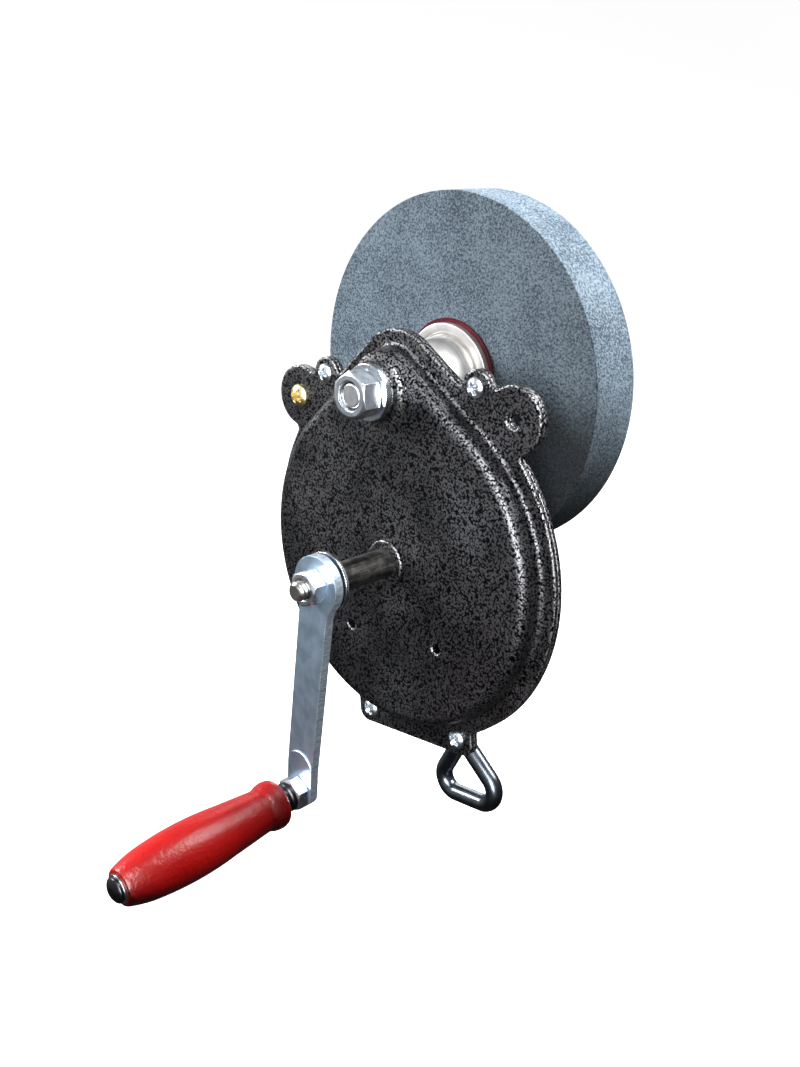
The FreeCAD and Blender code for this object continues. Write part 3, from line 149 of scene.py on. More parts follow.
def arc_points(start, via, end, step):
    """Points strictly between the ends of the circle arc through three points: the centre solves
    the two equations of equal distance, and the angle runs evenly from start over via to end."""
    rows = 2 * np.array([via - start, end - start])
    centre = np.linalg.solve(rows, [via @ via - start @ start, end @ end - start @ start])
    angles = [math.atan2(*(point - centre)[::-1]) for point in (start, via, end)]
    sweep = (angles[2] - angles[0]) % (2 * math.pi)
    if (angles[1] - angles[0]) % (2 * math.pi) > sweep:
        sweep -= 2 * math.pi
    radius = np.linalg.norm(start - centre)
    count = max(6, int(abs(sweep) * radius / step))
    turn = angles[0] + np.linspace(0, sweep, count + 1)[1:-1, None]
    return centre + radius * np.hstack([np.cos(turn), np.sin(turn)])


def axes(direction):
    """Two unit vectors square to a direction and to each other."""
    w = np.array(direction, float) / np.linalg.norm(direction)
    u = np.cross((0.0, 0.0, 1.0) if abs(w[2]) < 0.9 else (1.0, 0.0, 0.0), w)
    u /= np.linalg.norm(u)
    return u, np.cross(w, u), w


def skin(name, points, closed=False):
    """A mesh from a grid of points in metres. Rows follow the outline and columns go round, where
    the last column meets the first. Its UV map is (distance along the outline in m, share of
    the way round). Doubled points at poles and at the seam are merged, and faces point out."""
    rows, columns = points.shape[:2]
    last = rows if closed else rows - 1
    i, j = np.meshgrid(np.arange(last), np.arange(columns), indexing="ij")
    corners = np.stack([
        i % rows * columns + j,
        (i + 1) % rows * columns + j,
        (i + 1) % rows * columns + (j + 1) % columns,
        i % rows * columns + (j + 1) % columns,
    ], axis=-1).reshape(-1, 4)
    mesh = bpy.data.meshes.new(name)
    mesh.from_pydata(points.reshape(-1, 3), [], corners.tolist())
    steps = np.linalg.norm(np.diff(points, axis=0), axis=2).mean(axis=1)
    along = np.concatenate([[0.0], np.cumsum(steps), [steps.sum()]])
    u = np.stack([along[i], along[i + 1], along[i + 1], along[i]], axis=-1)
    v = np.stack([j, j, j + 1, j + 1], axis=-1) / columns
    layer = mesh.uv_layers.new(name="surface")
    layer.data.foreach_set("uv", np.stack([u, v], axis=-1).ravel())
    work = bmesh.new()
    work.from_mesh(mesh)
    bmesh.ops.remove_doubles(work, verts=work.verts, dist=1e-7)
    bmesh.ops.recalc_face_normals(work, faces=work.faces)
    work.to_mesh(mesh)
    work.free()
    mesh.shade_smooth()
    mesh.set_sharp_from_angle(angle=SHARP_ANGLE)
    piece = bpy.data.objects.new(name, mesh)
    bpy.context.scene.collection.objects.link(piece)
    return piece


def turned(name, profile, centre, direction, closed=False, sides=128, relief=None):
    """A lathe piece: point = centre + height * axis + radius * (cos a * u + sin a * v), with
    radius and height in mm along the profile. relief(radius, height, angle) may shift both."""
    u, v, w = axes(direction)
    radius, height = profile[:, :1], profile[:, 1:2]
    angle = np.linspace(0, 2 * math.pi, sides, endpoint=False)[None]
    radius, height = radius + 0 * angle, height + 0 * angle
    if relief:
        radius, height = relief(radius, height, angle)
    ring = np.cos(angle)[..., None] * u + np.sin(angle)[..., None] * v
    points = np.array(centre) + MM * (height[..., None] * w + radius[..., None] * ring)
    return skin(name, points, closed)


def hexagon_nut(name, flats, height, bore, centre, direction, angle, mouth=(0.7, 0.7)):
    """A hexagon nut. Its wall's radius is the smaller of the hexagon's, flats / 2 / cos(a) with a
    folded to 30 degrees either side of a flat, and that of the 30 degree cones which chamfer both
    ends. The bore opens by a mouth, of the given width and depth, at each end. The first corner
    stands at the given angle."""
    wide, deep = mouth
    flat_end = flats * 0.475
    face_edge = flat_end - 0.15
    corner = flats / math.sqrt(3)
    slope = math.tan(math.radians(30))
    drop = (corner - flat_end) * slope
    rows = np.concatenate([np.linspace(0, drop, 14), np.linspace(height - drop, height, 14)])
    wall = np.column_stack([np.full_like(rows, corner), rows])
    profile = np.vstack([
        [(bore, height - deep), (bore, deep), (bore + wide, 0.0), (face_edge, 0.0)],
        wall, [(face_edge, height), (bore + wide, height)],
    ])

    def hexagon(r, z, a):
        fold = (a - angle) % (math.pi / 3) - math.pi / 6
        flat = flats / 2 / np.cos(fold)
        cone = flat_end + np.minimum(z, height - z) / slope
        return np.where(r > flat_end, np.minimum(flat, cone), r), z

    return turned(name, profile, centre, direction, closed=True, sides=288, relief=hexagon)


def plate_outline(bore, radius, thickness, edge, seam=0.5):
    """Half section of a round plate with a bore, as a loop that starts on the bore's wall at a
    share of the thickness. Its four corners are rounded by the given edge."""
    start = (bore, thickness * seam)
    corners = [start, (bore, 0.0), (radius, 0.0), (radius, thickness), (bore, thickness), start]
    return outline(corners, edge)[:-1]


def dress(piece, kind, node):
    """Give a new piece its kind of finish, let it stand for a node and ride on the node's body."""
    piece.data.materials.append(finish_of(kind))
    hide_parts(node)
    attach(piece, NODES[node]["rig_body"])


def paint(kind, *nodes):
    """Give nodes of the frame a kind of finish."""
    finish = finish_of(kind)
    for node in nodes:
        slots = NODES[node].material_slots
        for slot in slots:
            slot.material = finish
        if not slots:
            NODES[node].data.materials.append(finish)


def spot(node):
    """Middle of a node's box, in metres."""
    low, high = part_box(node)
    return (np.array(low) + np.array(high)) / 2


def rear_face(node):
    """Middle of a node's rear face in metres, and its thickness and half its width in mm."""
    low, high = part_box(node)
    middle = spot(node)
    thickness = (high[1] - low[1]) / MM
    radius = (high[0] - low[0]) / MM / 2
    return (middle[0], high[1], middle[2]), thickness, radius


def handle_axis():
    """A point on the handle's axis, in metres, and the direction away from the arm."""
    joint = JOINTS["handle_spin"]
    return np.array(joint["pos_m"]), np.array(joint["axis"])


# Finishes

class Value:
    """A number in a shader. Sums, differences and products of it add Math nodes."""

    def __init__(self, finish, socket):
        self.finish = finish
        self.socket = socket

    def maths(self, operation, *values):
        """One Math node of the given operation."""
        return self.finish.node("ShaderNodeMath", {"operation": operation},
                                dict(enumerate(values)))

    def __add__(self, other):
        return self.maths("ADD", self, other)

    def __sub__(self, other):
        return self.maths("SUBTRACT", self, other)

    def __rsub__(self, other):
        return self.maths("SUBTRACT", other, self)

    def __mul__(self, other):
        return self.maths("MULTIPLY", self, other)

    __radd__ = __add__

    def rise(self, low, high):
        """0 below low, 1 above high, a smooth step between."""
        return self.finish.node("ShaderNodeMapRange", {"interpolation_type": "SMOOTHSTEP"},
                                {0: self, 1: low, 2: high})


class Finish:
    """A material under construction, or the tools for a tree that exists already."""

    def __init__(self, name, tree=None):
        if tree is None:
            self.material = bpy.data.materials.new(name)
            self.material.use_nodes = True
            tree = self.material.node_tree
            tree.nodes.clear()
        self.tree = tree

    def node(self, kind, settings=None, sockets=None, output=0):
        """Add a node: its settings first, then a value or link for its sockets, by name or
        number. Gives back one of its outputs."""
        node = self.tree.nodes.new(kind)
        for key, value in (settings or {}).items():
            setattr(node, key, value)
        for key, value in (sockets or {}).items():
            if isinstance(value, Value):
                self.tree.links.new(value.socket, node.inputs[key])
            else:
                node.inputs[key].default_value = value
        return Value(self, node.outputs[output]) if node.outputs else None

    def place(self):
        """The point on the object, in metres."""
        return self.node("ShaderNodeTexCoord", output="Object")

    def along(self):
        """The piece's own UV map: along its outline and round it."""
        return self.node("ShaderNodeUVMap", {"uv_map": "surface"})

    def stretched(self, vector, x, y, z):
        """A place scaled along each axis, where a small factor draws a pattern out."""
        return self.node("ShaderNodeVectorMath", {"operation": "MULTIPLY"},
                         {0: vector, 1: (x, y, z)})

    def noise(self, vector, size, detail=2.0, roughness=0.5):
        """Noise whose blobs are about size metres across."""
        return self.node("ShaderNodeTexNoise", None, {
            "Vector": vector, "Scale": 1.0 / size, "Detail": detail, "Roughness": roughness,
        })

    def cells(self, vector, size):
        """Distance to the nearest of points that lie about size metres apart."""
        return self.node("ShaderNodeTexVoronoi", None,
                         {"Vector": vector, "Scale": 1.0 / size}, "Distance")

    def mix(self, factor, first, second):
        """Colour first where the factor is 0 and second where it is 1."""
        return self.node("ShaderNodeMix", {"data_type": "RGBA"},
                         {0: factor, 6: shade(first), 7: shade(second)}, 2)

    def soft_edges(self, radius):
        """The surface normal with every edge rounded by a radius in metres."""
        return self.node("ShaderNodeBevel", {"samples": 6}, {"Radius": radius})

    def edges(self, radius, low, high):
        """1 along edges and 0 elsewhere: how far the rounded normal leans from the true one."""
        true = self.node("ShaderNodeNewGeometry", output="Normal")
        lean = self.node("ShaderNodeVectorMath", {"operation": "DOT_PRODUCT"},
                         {0: self.soft_edges(radius), 1: true}, "Value")
        return (1 - lean).rise(low, high)

    def bump(self, height, distance, strength, normal=None):
        """The normal of a relief whose depth is in metres."""
        sockets = {"Height": height, "Distance": distance, "Strength": strength}
        if normal:
            sockets["Normal"] = normal
        return self.node("ShaderNodeBump", None, sockets)

    def surface(self, colour, roughness, metallic=0.0, normal=None, constants=None):
        """Close the material with its Principled shader."""
        sockets = {"Base Color": shade(colour), "Roughness": roughness, "Metallic": metallic}
        if normal:
            sockets["Normal"] = normal
        sockets.update(constants or {})
        shader = self.node("ShaderNodeBsdfPrincipled", None, sockets)
        self.node("ShaderNodeOutputMaterial", None, {0: shader})
        return self.material


def shade(colour):
    """A colour or grey with full opacity, ready for a colour socket."""
    if isinstance(colour, Value):
        return colour
    if isinstance(colour, (int, float)):
        colour = (colour,) * 3
    return (*colour[:3], 1.0)


def hammered_enamel(settings):
    """Charcoal hammer finish: a silvery grey film, paler along edges, partly as edge wear and
    partly as a painted highlight, and broken by fine black pools that lie lower."""
    finish = Finish("charcoal hammer enamel")
    place = finish.place()
    pools = finish.cells(place, settings.fleck_size)
    fine = finish.noise(place, settings.fleck_size * 0.8, 1.0, 0.5)
    broad = finish.noise(place, 0.026, 2.0)
    height = pools * 0.45 + fine * 0.55
    silver = finish.mix(broad.rise(0.3, 0.7), settings.film_dark, settings.film)
    # Paler film along every edge: partly edge wear, partly a painted highlight where light would
    # catch the shoulders and rims
    silver = finish.mix(finish.edges(0.0020, 0.01, 0.20), silver, settings.edge_wear_and_highlight)
    film = 1 - height.rise(0.43, 0.60)
    colour = finish.mix(film, settings.pool, silver)
    relief = finish.bump(1 - height, 0.00030, settings.relief, finish.soft_edges(0.0016))
    return finish.surface(colour, 0.38 + broad * 0.10, 0.92, relief,
                          {"Specular IOR Level": 0.15})


def casting_paint():
    """Black paint over a sand casting."""
    finish = Finish("black paint on casting")
    place = finish.place()
    grain = finish.noise(place, 0.0016, 4.0, 0.6)
    broad = finish.noise(place, 0.012, 2.0)
    colour = finish.mix(broad, (0.014, 0.014, 0.015), (0.032, 0.032, 0.034))
    relief = finish.bump(grain, 0.0003, 0.7, finish.soft_edges(0.0009))
    return finish.surface(colour, 0.42 + grain * 0.15, 0.0, relief)


def plated(name, colour, gloss):
    """Plated or bare steel: soft clouds of tone, fine scratches and rounded edges."""
    finish = Finish(name)
    place = finish.place()
    cloud = finish.noise(place, 0.006, 3.0, 0.6)
    scratch = finish.noise(finish.stretched(place, 1.0, 1.0, 0.06), 0.00025, 2.0)
    pale = tuple(min(1.0, part * 1.12) for part in colour)
    dull = tuple(part * 0.82 for part in colour)
    tone = finish.mix(cloud.rise(0.3, 0.7), dull, pale)
    rough = gloss + cloud * 0.10 + scratch * 0.08
    relief = finish.bump(scratch, 0.00001, 0.5, finish.soft_edges(0.00018))
    return finish.surface(tone, rough, 1.0, relief)


def bent_strip(settings):
    """The crank arm's blue zinc, with paler, rougher sides where the strip was sheared."""
    finish = Finish("blue zinc strip")
    place = finish.place()
    cloud = finish.noise(place, 0.007, 3.0, 0.6)
    scratch = finish.noise(finish.stretched(place, 1.0, 1.0, 0.06), 0.00025, 2.0)
    rough_cut = finish.noise(finish.stretched(place, 1.0, 0.3, 1.0), 0.0008, 3.0, 0.6)
    normal = finish.node("ShaderNodeNewGeometry", output="Normal")
    forward = finish.node("ShaderNodeSeparateXYZ", None, {0: normal}, 1)
    cut = 1 - (forward * forward).rise(0.30, 0.60)
    face = finish.mix(cloud.rise(0.3, 0.7), settings.strip_dark, settings.strip)
    side = finish.mix(rough_cut.rise(0.35, 0.65), settings.strip_dark, settings.strip_cut)
    colour = finish.mix(cut, face, side)
    relief = finish.bump(scratch * 0.1 + rough_cut * cut, 0.00010, 0.5,
                         finish.soft_edges(0.0003))
    return finish.surface(colour, 0.35 + cloud * 0.10 + cut * 0.10, 1.0, relief)


def turned_metal(name, colour, gloss, pitch=0.00022, depth=0.6):
    """Lathe turned metal: fine rings that follow the outline, and soft clouds of tone."""
    finish = Finish(name)
    along = finish.stretched(finish.along(), 1.0 / pitch, 3.0, 0.0)
    rings = finish.noise(along, 1.0)
    cloud = finish.noise(finish.place(), 0.007, 2.0)
    dull = tuple(part * 0.70 for part in colour)
    tone = finish.mix((cloud * 0.6 + rings * 0.4).rise(0.3, 0.7), dull, colour)
    relief = finish.bump(rings, 0.000012, depth)
    return finish.surface(tone, gloss + rings * 0.12, 1.0, relief)


def worn_black(tip):
    """Blackened shaft, rubbed paler in streaks along its length, and bare on the thread that
    stands out in front of the given place."""
    finish = Finish("rubbed black shaft")
    streak = finish.noise(finish.stretched(finish.along(), 45.0, 20.0, 0.0), 1.0, 4.0, 0.7)
    cloud = finish.noise(finish.place(), 0.004, 3.0, 0.6)
    tone = (streak * 0.6 + cloud * 0.4).rise(0.40, 0.66)
    rubbed = finish.mix(tone, (0.040, 0.038, 0.036), (0.270, 0.255, 0.240))
    forward = finish.node("ShaderNodeSeparateXYZ", None, {0: finish.place()}, 1)
    bare = (tip - forward).rise(0.0, 0.0006)
    colour = finish.mix(bare, rubbed, (0.200, 0.197, 0.190))
    relief = finish.bump(streak, 0.00002, 0.5)
    return finish.surface(colour, 0.30 + cloud * 0.15, 0.9, relief)


def vitrified_abrasive(settings):
    """Grey blue abrasive: fine grains of several tones, pale crystals and open dark pores."""
    finish = Finish("vitrified abrasive")
    place = finish.place()
    aslant = finish.stretched(place, 1.1, 0.9, 1.05)
    grain = finish.noise(place, settings.grain_size, 3.0, 0.75)
    pore = finish.noise(aslant, settings.grain_size * 1.2, 3.0, 0.7)
    crystal = finish.cells(place, settings.grain_size * 1.6)
    broad = finish.noise(place, 0.025, 3.0)
    body = finish.mix((grain * 0.8 + broad * 0.2).rise(0.42, 0.58), settings.bond,
                      settings.bond_light)
    sparkling = finish.mix((1 - crystal).rise(0.80, 0.95) * 0.6, body, settings.grain)
    colour = finish.mix(pore.rise(0.58, 0.70) * 0.75, sparkling, settings.pore)
    relief = finish.bump(grain * 0.5 - pore, 0.00040, 0.6)
    return finish.surface(colour, 0.80 + grain * 0.12, 0.0, relief,
                          {"Specular IOR Level": 0.25})


def lacquered_wood(settings):
    """Turned wood under thick red lacquer with an orange peel surface."""
    finish = Finish("red lacquered wood")
    grain = finish.noise(finish.stretched(finish.along(), 60.0, 40.0, 0.0), 1.0, 4.0, 0.6)
    cloud = finish.noise(finish.place(), 0.018, 3.0)
    colour = finish.mix((grain * 0.5 + cloud * 0.5).rise(0.30, 0.70), settings.lacquer_dark,
                        settings.lacquer)
    peel = finish.noise(finish.place(), 0.0020, 3.0, 0.6)
    relief = finish.bump(peel, 0.00070, settings.peel)
    return finish.surface(colour, 0.25 + cloud * 0.12, 0.0, relief,
                          {"Specular IOR Level": 0.38})


def blotter_card():
    """Dark red compressible card with paper fibres."""
    finish = Finish("dark red card")
    place = finish.place()
    fibre = finish.noise(finish.stretched(place, 1.0, 1.0, 0.3), 0.0008, 4.0, 0.7)
    colour = finish.mix(fibre.rise(0.3, 0.7), (0.075, 0.006, 0.014), (0.190, 0.016, 0.034))
    relief = finish.bump(fibre, 0.0001, 0.5)
    return finish.surface(colour, 0.80, 0.0, relief, {"Specular IOR Level": 0.12})


FINISHES = {}


def finish_of(name):
    """One shared copy of each finish, made when it is first asked for."""
    scene = bpy.context.scene
    makers = {
        "enamel": lambda: hammered_enamel(scene.grinder_housing),
        "casting": casting_paint,
        "zinc": lambda: plated("bright zinc", (0.60, 0.645, 0.69), 0.20),
        "strip": lambda: bent_strip(scene.grinder_shaft),
        "brass": lambda: plated("yellow plating", (0.68, 0.58, 0.32), 0.24),
        "black": lambda: plated("blackened steel", (0.055, 0.056, 0.060), 0.26),
        "bronze": lambda: plated("bearing bronze", (0.55, 0.33, 0.15), 0.35),
        "iron": lambda: plated("machined iron", (0.30, 0.30, 0.31), 0.38),
        "steel": lambda: plated("bare steel", (0.55, 0.56, 0.57), 0.26),
        "rod": lambda: turned_metal("polished rod", (0.100, 0.116, 0.135), 0.22, 0.0060, 0.02),
        "black_turned": lambda: turned_metal("blackened turned steel", (0.050, 0.051, 0.055),
                                             0.24),
        "shaft": lambda: worn_black(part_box("crank_nut")[0][1]),
        "flange": lambda: turned_metal("turned flange", (0.60, 0.59, 0.575), 0.40, 0.0006, 0.3),
        "washer": lambda: turned_metal("turned zinc", (0.56, 0.60, 0.64), 0.18),
        "abrasive": lambda: vitrified_abrasive(scene.grinder_wheel),
        "wood": lambda: lacquered_wood(scene.grinder_handle),
        "card": blotter_card,
    }
    if name not in FINISHES:
        FINISHES[name] = makers[name]()
    return FINISHES[name]


# Sizes a user would change

def length(name, text, value):
    """A length for the panel, given in mm."""
    return FloatProperty(name=name, description=text, default=value * MM, unit="LENGTH",
                         precision=5)


def colour(name, text, value):
    """A colour for the panel, in linear red, green and blue."""
    return FloatVectorProperty(name=name, description=text, default=value, subtype="COLOR",
                               min=0.0, max=1.0)


def angle(name, text, degrees):
    """An angle for the panel, given in degrees."""
    return FloatProperty(name=name, description=text, default=math.radians(degrees),
                         subtype="ANGLE")


def amount(name, text, value):
    """A factor for the panel, between 0 and 1."""
    return FloatProperty(name=name, description=text, default=value, subtype="FACTOR",
                         min=0.0, max=1.0)


class HousingSettings(bpy.types.PropertyGroup):
    film: colour("Film", "Silvery film of the hammer finish", (0.140, 0.141, 0.150))
    film_dark: colour("Film, darker", "Darker clouds of the film", (0.078, 0.079, 0.084))
    # Paler film along edges: partly edge wear, partly a painted highlight
    edge_wear_and_highlight: colour("Film on edges", "Film where it is drawn over an edge", (0.36, 0.36, 0.37))
    pool: colour("Pools", "Black pools of the hammer finish", (0.0015, 0.0015, 0.0018))
    fleck_size: length("Fleck size", "Distance between the dark pools", 0.95)
    relief: amount("Relief", "Depth of the hammer finish", 0.55)
    neck: length("Neck", "Height of the spindle neck over the front face", 3.9)
    flare: length("Flare", "Radius at which the neck runs out into the front face", 15.0)


class ScrewSettings(bpy.types.PropertyGroup):
    recess_width: length("Recess width", "Width of the cross recess", 1.35)
    recess_reach: length("Recess reach", "Length of the cross from the middle", 2.7)
    recess_depth: length("Recess depth", "Depth of the cross at the middle", 2.0)


class ShaftSettings(bpy.types.PropertyGroup):
    pitch: length("Pitch", "Thread pitch of the clamp screw", 1.25)
    tip_pitch: length("Tip pitch", "Thread pitch of the crank shaft's end", 2.00)
    thread_depth: length("Thread depth", "Height of the thread", 0.80)
    strip: colour("Arm", "Blue zinc of the arm's faces", (0.500, 0.645, 0.790))
    strip_dark: colour("Arm, darker", "Darker clouds of the zinc", (0.400, 0.520, 0.650))
    strip_cut: colour("Arm's sides", "Paler zinc on the sheared sides", (0.720, 0.780, 0.820))


class HandleSettings(bpy.types.PropertyGroup):
    lacquer: colour("Lacquer", "Red lacquer", (0.680, 0.006, 0.004))
    lacquer_dark: colour("Lacquer, darker", "Lacquer over darker grain", (0.520, 0.003, 0.003))
    peel: amount("Orange peel", "Depth of the lacquer's unevenness", 0.45)


class WheelSettings(bpy.types.PropertyGroup):
    bond: colour("Bond", "Darker ground of the abrasive", (0.062, 0.096, 0.135))
    bond_light: colour("Bond, paler", "Paler ground of the abrasive", (0.310, 0.405, 0.490))
    grain: colour("Grain", "Pale crystals", (0.520, 0.600, 0.680))
    pore: colour("Pore", "Dark pores", (0.040, 0.055, 0.075))
    grain_size: length("Grain size", "Size of the abrasive grains", 0.90)


class StageSettings(bpy.types.PropertyGroup):
    azimuth: angle("Azimuth", "Camera's angle round the object", 45.71)
    elevation: angle("Elevation", "Camera's height angle", 15.48)
    roll: angle("Roll", "Camera's lean", -2.83)
    place: FloatVectorProperty(name="Place", description="Where the camera stands",
                               default=(0.3468, -0.3746, 0.1687), subtype="TRANSLATION")
    lens: FloatProperty(name="Lens", description="Focal length in mm on a 36 mm high sensor",
                        default=41.17)
    floor: colour("Floor", "Colour of the floor", (0.85, 0.85, 0.85))
    floor_drop: length("Floor drop", "Room under the object for the clamp screw to travel", 32.0)
    floor_glow: amount("Floor glow", "Light that the floor gives off by itself", 0.95)
    above: colour("Light above", "Tone of the studio above the object", (0.55, 0.56, 0.58))
    below: colour("Light below", "Tone of the studio below the object", (0.03, 0.03, 0.03))


# Operators

class GRINDER_OT_housing(bpy.types.Operator):
    """Paint both housing halves, and give the hidden bearings and gears their metal"""

    bl_idname = "grinder.housing"
    bl_label = "Housing and gear train"
    bl_options = {"REGISTER", "UNDO"}

    def execute(self, context):
        scene = context.scene
        paint("enamel", "front_housing", "rear_housing", "front_crank_bush")
        self.neck_flare(scene.grinder_housing)
        paint("bronze", "front_spindle_bush", "rear_spindle_bush", "rear_crank_bush")
        paint("iron", "drive_gear")
        paint("steel", "gear_key", "pinion_spindle")
        paint("black", "crank_circlip")
        return {"FINISHED"}

    def neck_flare(self, settings):
        """The drawn sheet round the spindle neck: its radius grows from the neck's by a quarter
        of an ellipse, r = flare - (flare - neck) * sqrt(1 - (1 - t)^2), as t falls to 0 at the
        face. A narrow bevel joins it to the neck's end, and its inner wall stays hidden."""
        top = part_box("front_housing")[0][1]
        middle = spot("front_spindle_bush")
        flare, tall = settings.flare / MM, settings.neck / MM
        neck, bevel, inside = 10.9, 10.6, 9.9
        end = tall * 0.985
        t = np.linspace(0.0, 1.0, 30)
        skirt = np.column_stack([flare - (flare - neck) * np.sqrt(1 - (1 - t) ** 2),
                                 tall * (t * 0.94)])
        profile = np.vstack([[(inside, 0.0)], skirt, [(bevel, end), (inside, end)]])
        place = (middle[0], top + settings.neck, middle[2])
        piece = turned("spindle_neck_flare", profile, place, FORWARD, closed=True)
        piece.data.materials.append(finish_of("enamel"))
        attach(piece, NODES["front_housing"]["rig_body"])


class GRINDER_OT_screws(bpy.types.Operator):
    """Make the pan head screws with their cross recesses, and plate the nuts"""

    bl_idname = "grinder.screws"
    bl_label = "Screws"
    bl_options = {"REGISTER", "UNDO"}

    def execute(self, context):
        paint("zinc", "lug_nuts", "ear_nut")
        paint("black", "bracket_screws")
        settings = context.scene.grinder_screws
        m4, m5 = 2.0, 2.5
        # Node, end of the piece's name, finish, radius of the shank, and turn of the cross
        rows = (
            ("lug_screws", "_left", "zinc", m4, 0.35),
            ("lug_screws", "_right", "zinc", m4, -0.35),
            ("tab_screws", "_left", "zinc", m4, 0.9),
            ("tab_screws", "_right", "zinc", m4, -0.9),
            ("ear_screw", "_brass", "brass", m5, 0.55),
        )
        for node, end, kind, shank, angle in rows:
            low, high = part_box(node)
            radius = (high[2] - low[2]) / 2
            across = high[0] - radius if end == "_right" else low[0] + radius
            top = (across, low[1], (low[2] + high[2]) / 2)
            tail = (high[1] - low[1]) / MM
            piece = self.screw(settings, node + end, top, radius / MM, shank, tail, angle)
            dress(piece, kind, node)
        return {"FINISHED"}

    def screw(self, settings, name, top, radius, shank, tail, angle):
        """A pan head screw seen from the front, its top at a point. The head's top sinks by
        depth * arm(x, y), where arm is 1 in the middle of the cross, falls to 0 over its tapered
        reach along either line of the cross, and over its walls across it."""
        width = settings.recess_width / MM
        reach = settings.recess_reach / MM
        depth = settings.recess_depth / MM
        wall, taper = 0.22, 0.40
        head = radius * 0.65
        rim = -head * 0.65
        cap = np.linspace(1.0, 0.0, 64) ** 1.2
        rise = -rim
        sphere = (radius ** 2 + rise ** 2) / (2 * rise)
        edge = radius - 0.25
        top_line = np.column_stack([edge * cap, np.sqrt(sphere ** 2 - (edge * cap) ** 2) - sphere])
        below = outline([(0.0, -tail), (shank, -tail), (shank, -head), (radius, -head),
                         (radius, rim), (edge, top_line[0, 1])], 0.2)
        profile = np.vstack([below[:-1], top_line])
        m4_head = 4.0
        scale = radius / m4_head

        def recess(r, z, a):
            p = np.abs(r * np.cos(a + angle))
            q = np.abs(r * np.sin(a + angle))
            across = [smooth_step((width * scale / 2 - side) / wall + 0.5) for side in (p, q)]
            along = [np.clip((reach * scale - way) / (reach * taper), 0, 1) for way in (p, q)]
            arm = np.maximum(across[0] * along[1], across[1] * along[0])
            on_top = z > rim - 1e-6
            return r, z - np.where(on_top, depth * scale * arm, 0.0)

        return turned(name, profile, top, FORWARD, sides=160, relief=recess)


class GRINDER_OT_crank(bpy.types.Operator):
    """Make the threaded crank shaft and finish the arm, nut and washers"""

    bl_idname = "grinder.crank"
    bl_label = "Crank"
    bl_options = {"REGISTER", "UNDO"}

    def execute(self, context):
        paint("strip", "crank_arm")
        paint("black", "crank_spring_washer")
        journal = rear_face("crank_shaft")[2]
        thread = journal * 8 / 12
        seat = journal * 10 / 12
        self.shaft(context.scene.grinder_shaft, journal, seat, thread)
        place, tall, _ = rear_face("crank_nut")
        nut = hexagon_nut("crank_nut_chamfered", M8_FLATS, tall, thread + BOLT_PLAY, place,
                          FORWARD, math.radians(15))
        dress(nut, "zinc", "crank_nut")
        place, thickness, radius = rear_face("crank_washer")
        washer = turned("crank_washer_turned", plate_outline(seat, radius, thickness, 0.35),
                        place, FORWARD, closed=True)
        dress(washer, "washer", "crank_washer")
        return {"FINISHED"}

    def shaft(self, settings, journal, seat, thread):
        """The crank shaft with its steps and thread, from radii in mm. The arm sits on the
        seat, between the spring washer and the nut."""
        low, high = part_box("crank_shaft")
        centre = (0.0, high[1], (low[2] + high[2]) / 2)
        length = (high[1] - low[1]) / MM
        arm_back = (high[1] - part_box("crank_spring_washer")[0][1]) / MM
        arm_front = (high[1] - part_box("crank_nut")[1][1]) / MM
        shoulder = (high[1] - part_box("crank_washer")[1][1]) / MM
        neck = thread * 0.95
        body = outline([(0.0, 0.0), (journal, 0.0), (journal, shoulder), (seat, shoulder),
                        (seat, arm_back), (neck, arm_back), (neck, arm_front)], 0.3)
        run = np.linspace(arm_front, length, 150)[1:]
        threaded = np.column_stack([np.full_like(run, thread), run])
        profile = np.vstack([body, threaded, [(0.0, length)]])
        pitch = settings.tip_pitch / MM
        depth = settings.thread_depth / MM

        def thread_form(r, z, a):
            """Radius falls by depth times a triangle wave of (z / pitch - a / turn), and the end
            is coned by one thread depth."""
            phase = (z / pitch - a / (2 * math.pi)) % 1.0
            wave = np.abs(2 * phase - 1)
            cone = smooth_step((length - z) / (depth * 2)) * depth - depth
            on = (z > arm_front + 0.01) & (r > 0.1)
            return np.where(on, r - depth * wave + cone, r), z

        piece = turned("crank_shaft_threaded", profile, centre, FORWARD, sides=96,
                       relief=thread_form)
        dress(piece, "shaft", "crank_shaft")


